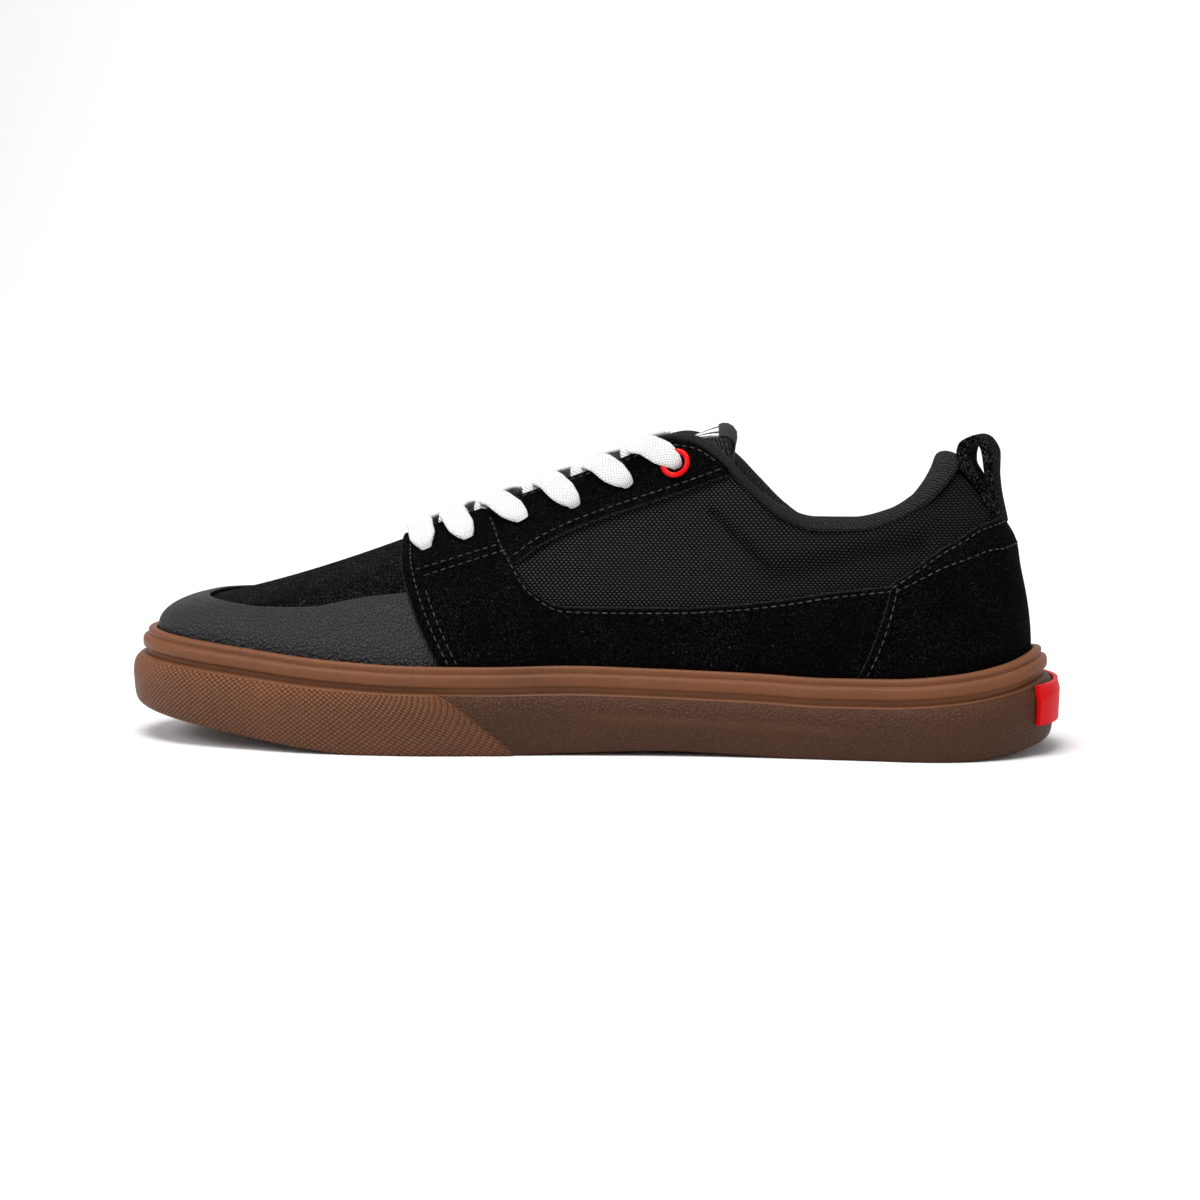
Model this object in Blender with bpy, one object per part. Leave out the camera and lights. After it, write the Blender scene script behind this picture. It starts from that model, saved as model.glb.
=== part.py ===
"""Flat-pedal mountain bike shoe for the right foot, with a gum rubber cup sole.

The toe points along -X, the heel along +X, and the inner side of the foot along -Y.
All sizes below are millimetres. The solids are made in metres.
"""

import math

import bmesh
import bpy
import numpy as np
from mathutils import Vector

MM = 0.001

# Driving sizes
TOE_X, HEEL_X = -141.5, 142.3
GAP = 0.4
OVERLAY, OVERLAY_GAP = 1.2, 0.55
WALL = 2.0
BASE_OFFSET = -(OVERLAY + OVERLAY_GAP)
LINING_OFFSET = BASE_OFFSET - WALL

# Where the columns of the upper and the sole stand: turns from the toe, then places along the foot, with two
# close ones at the back edge of the toe bumper, then turns from the heel.
TOE_TURNS = (0.0, 0.1, 0.2, 0.3, 0.4, 0.5, 0.6, 0.7, 0.8)
SIDE_X = (
    -89.0, -77.0, -65.0, -53.0, -41.0, -39.8, -28.0, -16.0, -4.0, 8.0, 18.0, 27.0, 34.0, 40.0, 46.0, 52.0, 58.0,
    64.0, 71.0, 79.0, 88.0, 97.0,
)
HEEL_TURNS = (0.75, 0.62, 0.5, 0.39, 0.29, 0.19, 0.09, 0.0)
COLUMNS = 2 * (len(TOE_TURNS) + len(SIDE_X) + len(HEEL_TURNS) - 1)

# The last, read along the foot. A row is one section: where its bottom edge lies, how high the sole's
# lip stands there, where its rib meets the rim, and how the rib rises from the lip to the rim.
LAST_COLUMNS = (
    "x", "centre", "half_width", "lip_height", "rim_x", "wall_share", "wall_run", "roundness",
    "roof_power", "bulge", "overhang", "floor_height",
)
LAST_ROWS = (
    (-141.5, -9.0, 40.0, 35.5, -62.5, 0.29, 0.20, 2.2, 1.40, 0.0, 7.4, 22.0),
    (-125.0, -6.0, 41.0, 34.0, -62.1, 0.31, 0.22, 2.2, 1.35, 0.0, 7.2, 19.0),
    (-100.0, -2.0, 43.5, 31.6, -60.3, 0.38, 0.34, 2.2, 1.25, 0.0, 6.6, 15.6),
    (-75.0, -0.7, 47.8, 29.3, -54.5, 0.46, 0.55, 2.1, 1.15, 0.4, 6.2, 13.4),
    (-50.0, 0.7, 48.8, 27.9, -41.0, 0.50, 0.75, 2.0, 1.10, 0.8, 5.8, 12.6),
    (-25.0, 2.2, 46.2, 27.6, -22.5, 0.55, 0.90, 1.9, 1.05, 1.0, 5.6, 12.6),
    (0.0, 3.2, 42.3, 28.0, -1.0, 0.60, 1.05, 1.8, 1.00, 1.0, 5.6, 13.4),
    (25.0, 3.2, 38.8, 27.3, 21.0, 0.68, 1.15, 1.75, 1.00, 1.0, 5.6, 14.4),
    (42.0, 3.0, 36.9, 26.7, 36.5, 0.80, 1.25, 1.75, 1.00, 1.4, 5.7, 15.0),
    (60.0, 2.4, 35.4, 26.1, 54.0, 0.92, 1.35, 1.75, 1.00, 2.0, 5.9, 15.5),
    (80.0, 1.3, 34.3, 25.2, 75.0, 1.00, 1.40, 1.75, 1.00, 2.4, 6.1, 15.9),
    (100.0, 0.5, 33.6, 25.3, 93.0, 1.00, 1.40, 1.75, 1.00, 2.2, 6.5, 16.3),
    (120.0, 0.0, 33.2, 26.8, 106.6, 1.00, 1.35, 1.75, 1.00, 1.4, 7.0, 16.8),
    (135.0, 0.0, 33.0, 29.6, 115.6, 1.00, 1.30, 1.75, 1.00, 0.6, 7.4, 17.4),
    (142.3, 0.0, 33.0, 32.4, 120.0, 1.00, 1.30, 1.75, 1.00, 0.0, 7.5, 17.8),
)
TOE_ROUND_RUN, TOE_ROUND_POWER = 58.0, 2.1
HEEL_ROUND_RUN, HEEL_ROUND_POWER = 38.0, 2.2

# The rim: the edges of the throat, then the seam under the padded collar.
RIM_COLUMNS = ("x", "half_width", "inner_height", "outer_height")
RIM_ROWS = (
    (-62.5, 8.0, 65.2, 65.2),
    (-54.0, 8.5, 68.0, 68.0),
    (-36.0, 10.5, 74.2, 74.2),
    (-12.0, 13.0, 82.8, 82.8),
    (12.0, 15.5, 91.6, 91.4),
    (29.0, 18.0, 97.8, 97.2),
    (36.0, 20.0, 97.0, 95.6),
    (44.0, 23.5, 93.0, 89.4),
    (52.0, 26.5, 85.8, 80.8),
    (60.0, 28.3, 78.4, 72.6),
    (68.0, 29.3, 73.2, 67.0),
    (78.0, 29.4, 70.2, 64.2),
    (90.0, 29.0, 70.4, 65.4),
    (102.0, 28.5, 73.7, 71.2),
    (111.0, 28.5, 79.4, 78.4),
    (116.0, 28.5, 84.4, 83.9),
    (120.0, 28.5, 90.2, 90.2),
)
THROAT_ROUND_RUN = 8.0
COLLAR_ROUND_RUN = 30.0
END_POWER = 2.0

# The tread line under the sole: toe spring, flat forefoot, arch, flat heel, heel spring.
TREAD_COLUMNS = ("x", "height")
TREAD_ROWS = (
    (-151.0, 12.4), (-140.0, 10.2), (-125.0, 7.8), (-110.0, 5.6), (-95.0, 3.4), (-80.0, 1.4), (-64.0, 0.0),
    (-20.0, 0.0), (0.0, 0.8), (30.0, 1.6), (58.0, 0.6), (70.0, 0.0), (122.0, 0.0), (135.0, 1.2), (143.0, 2.8),
    (151.0, 4.8),
)

# The cup sole's side, from the floor inside the cup, over the lip and its two ribs, down to the tread.
# Reach is a share of the overhang past the upper, and extra is millimetres on top of it.
SOLE_COLUMNS = ("reach", "extra", "level", "height")
SOLE_ROWS = (
    (0.00, BASE_OFFSET + GAP, "floor", 0.0),
    (0.00, BASE_OFFSET + GAP, "lip", -5.2),
    (0.00, GAP, "lip", -5.2),
    (0.00, GAP, "lip", -0.5),
    (0.00, 0.9, "lip", 0.0),
    (0.42, 0.0, "lip", -0.4),
    (0.46, 0.0, "lip", -2.4),
    (0.68, 0.0, "lip", -3.6),
    (0.68, 0.0, "lip", -6.2),
    (0.46, 0.0, "lip", -6.8),
    (0.46, 0.0, "lip", -8.2),
    (0.66, 0.0, "lip", -8.6),
    (0.90, 0.0, "lip", -10.4),
    (1.00, 0.0, "lip", -13.4),
    (0.94, 0.0, "tread", 3.2),
    (0.86, 0.0, "tread", 0.7),
    (0.74, 0.0, "tread", 0.0),
)
BUMPER_FIRST_ROW = 11
BUMPER_STEP = 0.7
BUMPER_EDGE_TOP_X, BUMPER_EDGE_FOOT_X = -39.8, -16.0
BUMPER_SHEAR_RUN = 45.0
BUMPER_EDGE_WIDTH = 1.2

# Overlays on the side, seen from the side. A column of the panel runs from x at its foot up to its top edge.
# A top height of None means the rim.
PANEL_COLUMNS = ("foot_x", "top_x", "top_height")
QUARTER_ROWS = (
    (-40.0, -57.4, None),
    (-38.4, -55.0, None),
    (-36.4, -52.4, None),
    (-34.4, -50.0, None),
    (-32.0, -46.0, None),
    (-29.6, -42.0, None),
    (-27.2, -38.0, None),
    (-24.8, -34.0, None),
    (-23.0, -30.6, 74.2),
    (-21.0, -27.9, 71.6),
    (-18.5, -24.3, 66.3),
    (-15.0, -19.6, 60.2),
    (-10.5, -15.2, 54.1),
    (-5.0, -10.4, 50.0),
    (3.0, -1.5, 46.4),
    (17.0, 16.2, 46.2),
    (33.0, 33.6, 46.4),
    (50.0, 51.8, 47.6),
    (63.0, 66.9, 49.5),
    (75.0, 81.2, 51.9),
    (88.3, 98.6, 54.0),
)
EYESTAY_COLUMNS = ("x", "low_x", "low_height")
EYESTAY_ROWS = (
    (-29.5, -15.6, 60.8),
    (-26.0, -12.5, 63.2),
    (-19.0, -8.0, 66.0),
    (-8.0, 0.0, 69.8),
    (5.0, 11.5, 74.1),
    (17.0, 23.0, 78.0),
    (27.0, 34.0, 81.7),
    (33.0, 46.5, 86.4),
)
TOE_CAP_COLUMNS = ("x", "top_height")
TOE_CAP_ROWS = (
    (-119.8, 46.8), (-108.5, 45.2), (-101.3, 44.7), (-91.3, 44.9), (-81.5, 45.5), (-69.2, 47.9), (-56.0, 50.3),
)
TOE_CAP_BACK_FOOT_X = -41.6
TOE_CAP_SLANT_RUN = 0.5
COUNTER_COLUMNS = ("rib_x", "slant", "top_height")
COUNTER_ROWS = (
    (103.3, 13.4, 54.8),
    (113.5, 9.5, 60.6),
    (121.8, 5.0, 65.3),
    (130.4, 1.5, 69.2),
    (136.0, 0.0, 72.0),
    (HEEL_X, 0.0, 73.8),
)
OVERLAY_FOOT = 4.4
COUNTER_COLUMN_COUNT = 11
UPPER_STEPS = (0.0, 0.24, 0.45, 0.63, 0.78, 0.90, 1.0)
QUARTER_STEPS, COUNTER_STEPS, TOE_CAP_STEPS, EYESTAY_STEPS = 7, 6, 5, 5

# The padded collar, as a section across the rim: off the skin, and up from the rim.
COLLAR_COLUMNS = ("off", "up")
COLLAR_ROWS = (
    (-1.9, 0.5), (0.1, 2.4), (-0.3, 4.6), (-2.8, 6.0), (-5.6, 5.0), (-7.4, 2.2), (-7.6, -5.0), (-6.2, -14.0),
    (-4.5, -18.0), (-4.15, -8.0), (-4.15, 0.5),
)
COLLAR_START_X = 34.0
COLLAR_PAD_START_X, COLLAR_PAD_FULL_X = 46.0, 66.0
COLLAR_PAD_LEAST = 0.12
COLLAR_PUFF_COLUMNS = ("x", "puff")
COLLAR_PUFF_ROWS = ((34.0, 0.55), (48.0, 1.0), (110.0, 1.0), (120.0, 1.35))

# The tongue, by its stations along the rim.
TONGUE_COLUMNS = ("x", "centre_height", "thickness", "wing", "clear")
TONGUE_ROWS = (
    (-52.0, 61.8, 3.4, 9.0, 1.0),
    (-38.0, 68.4, 4.0, 13.0, 1.0),
    (-20.0, 75.6, 4.6, 15.0, 1.0),
    (0.0, 83.4, 5.0, 16.0, 1.0),
    (18.0, 90.2, 5.6, 16.0, 1.0),
    (31.0, 96.0, 6.6, 14.0, 1.2),
    (38.5, 99.6, 7.2, 11.0, 2.6),
    (44.0, 101.4, 6.4, 8.0, 4.0),
)
TONGUE_FRONT_REACH, TONGUE_FRONT_DROP = 9.0, 6.4
THROAT_SLOPE = math.atan2(33.8, 91.5)

# Laces and eyelets
EYELET_COLUMNS = ("x", "below_rim")
EYELET_ROWS = ((-45.5, 16.0), (-33.5, 15.5), (-17.5, 13.0), (-1.5, 12.0), (15.0, 10.3), (30.5, 8.4))
EYELET_HOLE_RADIUS = 2.4
EYELET_RING_RADIUS, EYELET_RING_HALF_HEIGHT = 3.7, 0.65
EYELET_RING_BAND = 1.15
EYELET_RING_SIDES, EYELET_ROLL_SIDES = 12, 6
EYELET_HOLE_SIDES = 6
LACE_WIDTH, LACE_THICKNESS = 7.6, 1.6
LACE_CLEAR_COLUMNS = ("share", "clear")
LACE_CLEAR = ((0.0, 0.5), (0.5, 1.2), (0.92, 2.4))
LACE_START_IN, LACE_RING_CLEAR = 2.0, 2.0
LACE_DRIFT = 0.16
LACE_END_IN, LACE_END_UP, LACE_CROWN = 5.0, 3.4, 3.84

# Insole, heel tab, pull loop and tongue tab
INSOLE_THICKNESS = 4.0
INSOLE_INSET = 1.0
HEEL_TAB_HALF_WIDTH, HEEL_TAB_LOW, HEEL_TAB_HIGH, HEEL_TAB_THICKNESS = 21.0, 9.5, 22.8, 1.4
LOOP_WIDTH = 13.0
LOOP_LEG_COLUMNS = ("height", "hole_x", "hole_height")
LOOP_LEG_ROWS = ((75.2, 129.3, 82.5), (79.0, 128.6, 83.0), (83.0, 127.2, 84.6), (87.0, 125.3, 86.9))
LOOP_COLUMNS = ("x", "height", "hole_x", "hole_height")
LOOP_ROWS = (
    (121.9, 89.0, 123.7, 89.6),
    (121.1, 92.0, 123.0, 92.0),
    (120.8, 94.6, 122.8, 94.4),
    (121.3, 97.2, 123.4, 96.4),
    (123.2, 98.7, 124.4, 97.2),
    (125.4, 99.3, 125.6, 97.4),
    (127.6, 98.4, 126.8, 96.9),
    (129.2, 96.2, 127.7, 95.6),
    (130.2, 93.4, 128.3, 93.3),
    (130.8, 89.9, 128.8, 90.0),
    (131.3, 86.1, 129.2, 86.4),
    (132.0, 82.0, 129.5, 83.8),
    (133.0, 78.1, 129.5, 82.8),
    (133.8, 75.0, 129.4, 82.5),
)
TONGUE_TAB_THICKNESS = 0.7


def column(columns, rows, name):
    return [row[columns.index(name)] for row in rows]


def curve_through(places, values):
    """A smooth curve through a table's points that never overshoots between them."""
    places, values = np.asarray(places, float), np.asarray(values, float)
    step = np.diff(places)
    rise = np.diff(values) / step
    slope = np.concatenate([rise[:1], np.zeros(len(places) - 2), rise[-1:]])
    for i in range(1, len(places) - 1):
        if rise[i - 1] * rise[i] > 0:
            before, after = 2 * step[i] + step[i - 1], step[i] + 2 * step[i - 1]
            slope[i] = (before + after) / (before / rise[i - 1] + after / rise[i])

    def value(place):
        place = np.clip(place, places[0], places[-1])
        i = np.clip(np.searchsorted(places, place) - 1, 0, len(step) - 1)
        s = (place - places[i]) / step[i]
        ends = values[i] * (1 + 2 * s) * (1 - s) ** 2 + values[i + 1] * s * s * (3 - 2 * s)
        return ends + step[i] * (slope[i] * s * (1 - s) ** 2 - slope[i + 1] * s * s * (1 - s))

    return value


def curves_of(columns, rows):
    """One curve over x for each other column of a table."""
    x = column(columns, rows, "x")
    return {name: curve_through(x, column(columns, rows, name)) for name in columns if name != "x"}


LAST = curves_of(LAST_COLUMNS, LAST_ROWS)
RIM = curves_of(RIM_COLUMNS, RIM_ROWS)
TREAD = curves_of(TREAD_COLUMNS, TREAD_ROWS)["height"]
RIM_X_TO_BASE_X = curve_through(column(LAST_COLUMNS, LAST_ROWS, "rim_x"), column(LAST_COLUMNS, LAST_ROWS, "x"))
RIM_FRONT_X, RIM_BACK_X = RIM_ROWS[0][0], RIM_ROWS[-1][0]


def end_round(distance, run, power):
    """0 at an end of an outline, 1 from run onwards, square to the end like an ellipse."""
    share = 1 - np.clip(distance / run, 0, 1)
    return np.clip(1 - share**power, 0, 1) ** (1 / power)


def turn_at(base_x):
    """The turn round the shoe, from 0 at the toe to pi at the heel, whose section starts at this x."""
    return np.arccos(np.clip(1 - 2 * (np.asarray(base_x, float) - TOE_X) / (HEEL_X - TOE_X), -1, 1))


def base_x_at(turn):
    return TOE_X + (HEEL_X - TOE_X) * (1 - np.cos(turn)) / 2


def side_of(turn):
    """-1 on the inner side of the foot, and 1 on the outer side."""
    return np.where(np.sin(turn) >= 0, -1.0, 1.0)


def outline(turn):
    """The bottom edge of the upper, in plan."""
    x = base_x_at(turn)
    toe = end_round(x - TOE_X, TOE_ROUND_RUN, TOE_ROUND_POWER)
    heel = end_round(HEEL_X - x, HEEL_ROUND_RUN, HEEL_ROUND_POWER)
    return x, LAST["centre"](x) + side_of(turn) * LAST["half_width"](x) * toe * heel


def outline_normal(turn):
    """The outward direction of the outline, in plan."""
    small = 1e-3
    x0, y0 = outline(turn - small)
    x1, y1 = outline(turn + small)
    length = np.hypot(x1 - x0, y1 - y0)
    return (y1 - y0) / length, -(x1 - x0) / length


def rim(turn):
    x = LAST["rim_x"](base_x_at(turn))
    side = side_of(turn)
    front = end_round(x - RIM_FRONT_X, THROAT_ROUND_RUN, END_POWER)
    back = end_round(RIM_BACK_X - x, COLLAR_ROUND_RUN, END_POWER)
    height = np.where(side < 0, RIM["inner_height"](x), RIM["outer_height"](x))
    return x, side * RIM["half_width"](x) * front * back, height


def skin(turn, t):
    """The outermost surface of the upper, from the sole's lip at t = 0 to the rim at t = 1."""
    turn, t = np.broadcast_arrays(np.asarray(turn, float), np.asarray(t, float))
    x0, y0 = outline(turn)
    x1, y1, high = rim(turn)
    base_x = base_x_at(turn)
    low = LAST["lip_height"](base_x)
    run = np.clip(t, 0, 1) ** 2
    reach, roundness = LAST["wall_run"](base_x), LAST["roundness"](base_x)
    wall = end_round(run, reach, roundness) / end_round(1.0, reach, roundness)
    share = LAST["wall_share"](base_x)
    rise = share * wall + (1 - share) * run ** LAST["roof_power"](base_x)
    out_x, out_y = outline_normal(turn)
    swell = LAST["bulge"](base_x) * np.sin(math.pi * rise)
    x = x0 + (x1 - x0) * run + out_x * swell
    y = y0 + (y1 - y0) * run + out_y * swell
    return np.stack([x, y, low + (high - low) * rise], -1)


def skin_normal(turn, t):
    small = 2e-3
    t = np.clip(np.asarray(t, float), small, 1 - small)
    along = skin(turn + small, t) - skin(turn - small, t)
    up = skin(turn, t + small) - skin(turn, t - small)
    normal = np.cross(along, up)
    return normal / np.linalg.norm(normal, axis=-1, keepdims=True)


def shell(turn, t, off):
    """A point off the skin. Below t = 0 the wall drops straight into the sole, t millimetres under the lip."""
    turn, t, off = np.broadcast_arrays(*(np.asarray(v, float) for v in (turn, t, off)))
    normal = skin_normal(turn, t)
    out_x, out_y = outline_normal(turn)
    straight = np.stack([out_x, out_y, np.zeros_like(out_x)], -1)
    normal = np.where(t[..., None] <= 0, straight, normal)
    point = skin(turn, np.maximum(t, 0)) + normal * off[..., None]
    point[..., 2] += np.minimum(t, 0)
    return point


def t_below_rim(turn, distance):
    """The t of the point this far under the rim, along the rib."""
    steps = np.linspace(1, 0.05, 80)
    points = skin(turn, steps)
    lengths = np.concatenate([[0], np.cumsum(np.linalg.norm(np.diff(points, axis=0), axis=1))])
    return float(np.interp(distance, lengths, steps))


def place_on_rib(base_x, height, side):
    """(turn, t) of the point at this height on the rib that starts at this x. No height means the rim."""
    turn = float(turn_at(base_x))
    turn = turn if side < 0 else 2 * math.pi - turn
    if height is None:
        return turn, 1.0
    steps = np.linspace(0, 1, 80)
    return turn, float(np.interp(height, skin(turn, steps)[:, 2], steps))


def place_on_side(x, height, side):
    """(turn, t) of the point of the skin seen at this x and height from one side of the shoe."""
    low, high = TOE_X, HEEL_X
    for _ in range(26):
        base_x = (low + high) / 2
        turn, t = place_on_rib(base_x, height, side)
        if skin(turn, t)[0] < x:
            low = base_x
        else:
            high = base_x
    return turn, t


def make_object(name, points, faces, material, centre):
    """A mesh object from points in millimetres, closed and facing outwards."""
    mesh = bpy.data.meshes.new(name)
    work = bmesh.new()
    verts = [work.verts.new(Vector(p) * MM) for p in points]
    for face in faces:
        work.faces.new([verts[i] for i in face])
    bmesh.ops.remove_doubles(work, verts=work.verts, dist=1e-7)
    bmesh.ops.recalc_face_normals(work, faces=work.faces)
    if work.calc_volume(signed=True) < 0:
        bmesh.ops.reverse_faces(work, faces=work.faces)
    work.to_mesh(mesh)
    work.free()
    mesh.shade_smooth()
    mesh.set_sharp_from_angle(angle=math.radians(40))
    mesh.materials.append(material)
    obj = bpy.data.objects.new(name, mesh)
    bpy.context.scene.collection.objects.link(obj)
    obj.parent = centre
    return obj


def grid_faces(rows, columns, start=0, ring=False):
    """Quads of a grid whose points run row by row. A ring joins the last column to the first."""
    last = columns if ring else columns - 1
    faces = []
    for r in range(rows - 1):
        for c in range(last):
            a, b = start + r * columns + c, start + r * columns + (c + 1) % columns
            faces.append((a, b, b + columns, a + columns))
    return faces


def slab(name, outer, inner, material, centre, ring=False):
    """A solid between two grids of points, closed along the edges that they share."""
    rows, columns = outer.shape[:2]
    count = rows * columns
    faces = grid_faces(rows, columns, 0, ring) + grid_faces(rows, columns, count, ring)
    last = columns if ring else columns - 1
    for edge in (0, (rows - 1) * columns):
        for c in range(last):
            a, b = edge + c, edge + (c + 1) % columns
            faces.append((a, b, b + count, a + count))
    if not ring:
        for edge in (0, columns - 1):
            for r in range(rows - 1):
                a, b = edge + r * columns, edge + (r + 1) * columns
                faces.append((a, b, b + count, a + count))
    points = np.concatenate([outer.reshape(-1, 3), inner.reshape(-1, 3)])
    return make_object(name, points, faces, material, centre)


def tube(name, sections, material, centre):
    """A solid along a row of closed sections, with flat ends."""
    count, sides = sections.shape[:2]
    faces = grid_faces(count, sides, 0, ring=True)
    faces += [tuple(range(sides)), tuple(range((count - 1) * sides, count * sides))]
    return make_object(name, sections.reshape(-1, 3), faces, material, centre)


def hoop(name, sections, material, centre):
    """A solid along a closed round of closed sections."""
    count, sides = sections.shape[:2]
    last = (count - 1) * sides
    faces = grid_faces(count, sides, 0, ring=True)
    faces += [(last + j, last + (j + 1) % sides, (j + 1) % sides, j) for j in range(sides)]
    return make_object(name, sections.reshape(-1, 3), faces, material, centre)


def finish_of(name, colour, roughness):
    material = bpy.data.materials.new(name)
    material.use_nodes = True
    shader = material.node_tree.nodes["Principled BSDF"]
    shader.inputs["Base Color"].default_value = (*colour, 1)
    shader.inputs["Roughness"].default_value = roughness
    shader.inputs["Metallic"].default_value = 0.0
    return material


def ring_turns():
    """Turns round the shoe in pairs that face each other across it."""
    half = [*TOE_TURNS, *turn_at(SIDE_X), *(math.pi - turn for turn in HEEL_TURNS)]
    return np.array(half + [2 * math.pi - turn for turn in half[-2:0:-1]])


def ladder(ring_start, columns):
    """Faces that span a ring from side to side, with a triangle at the toe and at the heel."""
    half = columns // 2
    first = [(ring_start, ring_start + 1, ring_start + columns - 1)]
    last = [(ring_start + half, ring_start + half + 1, ring_start + half - 1)]
    middle = [
        (ring_start + i, ring_start + i + 1, ring_start + columns - i - 1, ring_start + columns - i)
        for i in range(1, half - 1)
    ]
    return first + middle + last


def sole_turns(row):
    """The ring's turns on one row of the sole's side, sheared to follow the slanted back edge of the bumper."""
    turns = ring_turns()
    x = base_x_at(turns)
    drop = (row - BUMPER_FIRST_ROW) / (len(SOLE_ROWS) - 1 - BUMPER_FIRST_ROW)
    drop = max(drop, 0.0) ** 0.7
    edge_x = BUMPER_EDGE_TOP_X
    near = np.clip(1 - np.abs(x - edge_x) / BUMPER_SHEAR_RUN, 0, 1) ** 1.5
    sheared = turn_at(x + near * drop * (BUMPER_EDGE_FOOT_X - BUMPER_EDGE_TOP_X))
    return np.where(np.sin(turns) >= 0, sheared, 2 * math.pi - sheared), x


def sole_ring(row):
    """One ring of points on the sole."""
    reach, extra, level, height = SOLE_ROWS[row]
    turns, flat_x = sole_turns(row)
    base_x = base_x_at(turns)
    off = reach * LAST["overhang"](base_x) + extra
    if row >= BUMPER_FIRST_ROW:
        off += BUMPER_STEP * np.clip((BUMPER_EDGE_TOP_X - flat_x) / BUMPER_EDGE_WIDTH, 0, 1)
    x, y = outline(turns)
    out_x, out_y = outline_normal(turns)
    x, y = x + out_x * off, y + out_y * off
    levels = {"floor": LAST["floor_height"], "lip": LAST["lip_height"], "tread": lambda _: TREAD(x)}
    return np.stack([x, y, levels[level](base_x) + height], -1)


def build_outsole(material, centre):
    rings = np.array([sole_ring(row) for row in range(len(SOLE_ROWS))])
    faces = grid_faces(len(rings), COLUMNS, 0, ring=True)
    faces += ladder(0, COLUMNS) + ladder((len(rings) - 1) * COLUMNS, COLUMNS)
    return make_object("outsole", rings.reshape(-1, 3), faces, material, centre)


def build_insole(material, centre):
    turns = ring_turns()
    base_x = base_x_at(turns)
    x, y = outline(turns)
    out_x, out_y = outline_normal(turns)
    off = LINING_OFFSET - INSOLE_INSET
    low = LAST["floor_height"](base_x) + GAP
    bottom = np.stack([x + out_x * off, y + out_y * off, low], -1)
    top = bottom + np.array([0, 0, INSOLE_THICKNESS])
    faces = grid_faces(2, COLUMNS, 0, ring=True) + ladder(0, COLUMNS) + ladder(COLUMNS, COLUMNS)
    return make_object("insole", np.concatenate([bottom, top]), faces, material, centre)


def build_upper(material, centre):
    turns = ring_turns()
    base_x = base_x_at(turns)
    foot = LAST["floor_height"](base_x) + GAP - LAST["lip_height"](base_x)
    rows = [foot] + [np.full(COLUMNS, t) for t in UPPER_STEPS]
    outer = np.array([shell(turns, t, BASE_OFFSET) for t in rows])
    inner = np.array([shell(turns, t, LINING_OFFSET) for t in rows])
    return slab("upper", outer, inner, material, centre, ring=True)


def overlay(name, places, material, centre):
    """A leather panel on the upper, from a grid of (turn, t): a row of them for each row of points."""
    places = np.array(places)
    turn, t = places[..., 0], places[..., 1]
    return slab(name, shell(turn, t, 0.0), shell(turn, t, -OVERLAY), material, centre)


def foot_place(x, side):
    """(turn, t) of a panel's foot, tucked under the sole's lip."""
    turn = float(turn_at(x))
    return (turn if side < 0 else 2 * math.pi - turn), -OVERLAY_FOOT


def refine(values, times):
    """More values between those of a short row, on a smooth curve."""
    dense = np.linspace(0, len(values) - 1, (len(values) - 1) * times + 1)
    return [float(v) for v in curve_through(range(len(values)), values)(dense)]


def panel_column(foot_x, top_x, top_height, side, rows):
    """Places up one column of a panel, straight as seen from the side, with its foot tucked under the lip."""
    low = float(LAST["lip_height"](foot_x))
    high = top_height
    if high is None:
        high = float((RIM["inner_height"] if side < 0 else RIM["outer_height"])(top_x))
    column_places = [foot_place(foot_x, side)]
    for share in np.linspace(0, 1, rows):
        height = None if top_height is None and share == 1 else low + (high - low) * share
        column_places.append(place_on_side(foot_x + (top_x - foot_x) * share, height, side))
    return column_places


def build_quarter(side, name, material, centre):
    columns = [panel_column(*row, side, QUARTER_STEPS) for row in QUARTER_ROWS]
    return overlay(name, list(zip(*columns)), material, centre)


def build_counter(material, centre):
    """The counter wraps the heel, from one side to the other, on the upper's own ribs."""
    rib_x = column(COUNTER_COLUMNS, COUNTER_ROWS, "rib_x")
    slant = curve_through(rib_x, column(COUNTER_COLUMNS, COUNTER_ROWS, "slant"))
    height = curve_through(rib_x, column(COUNTER_COLUMNS, COUNTER_ROWS, "top_height"))
    first_turn = float(turn_at(rib_x[0]))
    stations = [float(x) for x in base_x_at(np.linspace(first_turn, math.pi, COUNTER_COLUMN_COUNT))]
    columns = []
    for side in (-1, 1):
        for x in stations if side < 0 else stations[-2::-1]:
            top_turn, top = place_on_rib(x, float(height(x)), side)
            foot_turn, foot = foot_place(x - float(slant(x)), side)
            shares = np.linspace(0, 1, COUNTER_STEPS)
            rows = [(foot_turn + (top_turn - foot_turn) * share, top * share) for share in shares]
            columns.append([(foot_turn, foot), *rows])
    return overlay("heel_counter", list(zip(*columns)), material, centre)


def build_toe_cap(material, centre):
    """The cap wraps the toe on the upper's own ribs, and its back edges slant down the sides."""
    edge = [place_on_side(x, height, -1) for x, height in TOE_CAP_ROWS]
    edge_t = curve_through([0.0] + [turn for turn, _ in edge[1:]], [edge[0][1]] + [t for _, t in edge[1:]])
    back_turn = edge[-1][0]
    slant_turn = float(turn_at(TOE_CAP_BACK_FOOT_X)) - back_turn
    turns = [turn for turn in ring_turns()[: COLUMNS // 2] if turn < back_turn - 0.03] + [back_turn]
    columns = []
    for turn in turns:
        slant = slant_turn * max(0.0, 1 - (back_turn - turn) / TOE_CAP_SLANT_RUN)
        shares = np.linspace(0, 1, TOE_CAP_STEPS)
        rows = [(turn + slant * (1 - share), float(edge_t(turn)) * share) for share in shares]
        columns.append([(turn + slant, -OVERLAY_FOOT), *rows])
    mirrored = [[(-turn, t) for turn, t in places] for places in columns[:0:-1]]
    return overlay("toe_cap", list(zip(*(mirrored + columns))), material, centre)


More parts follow.
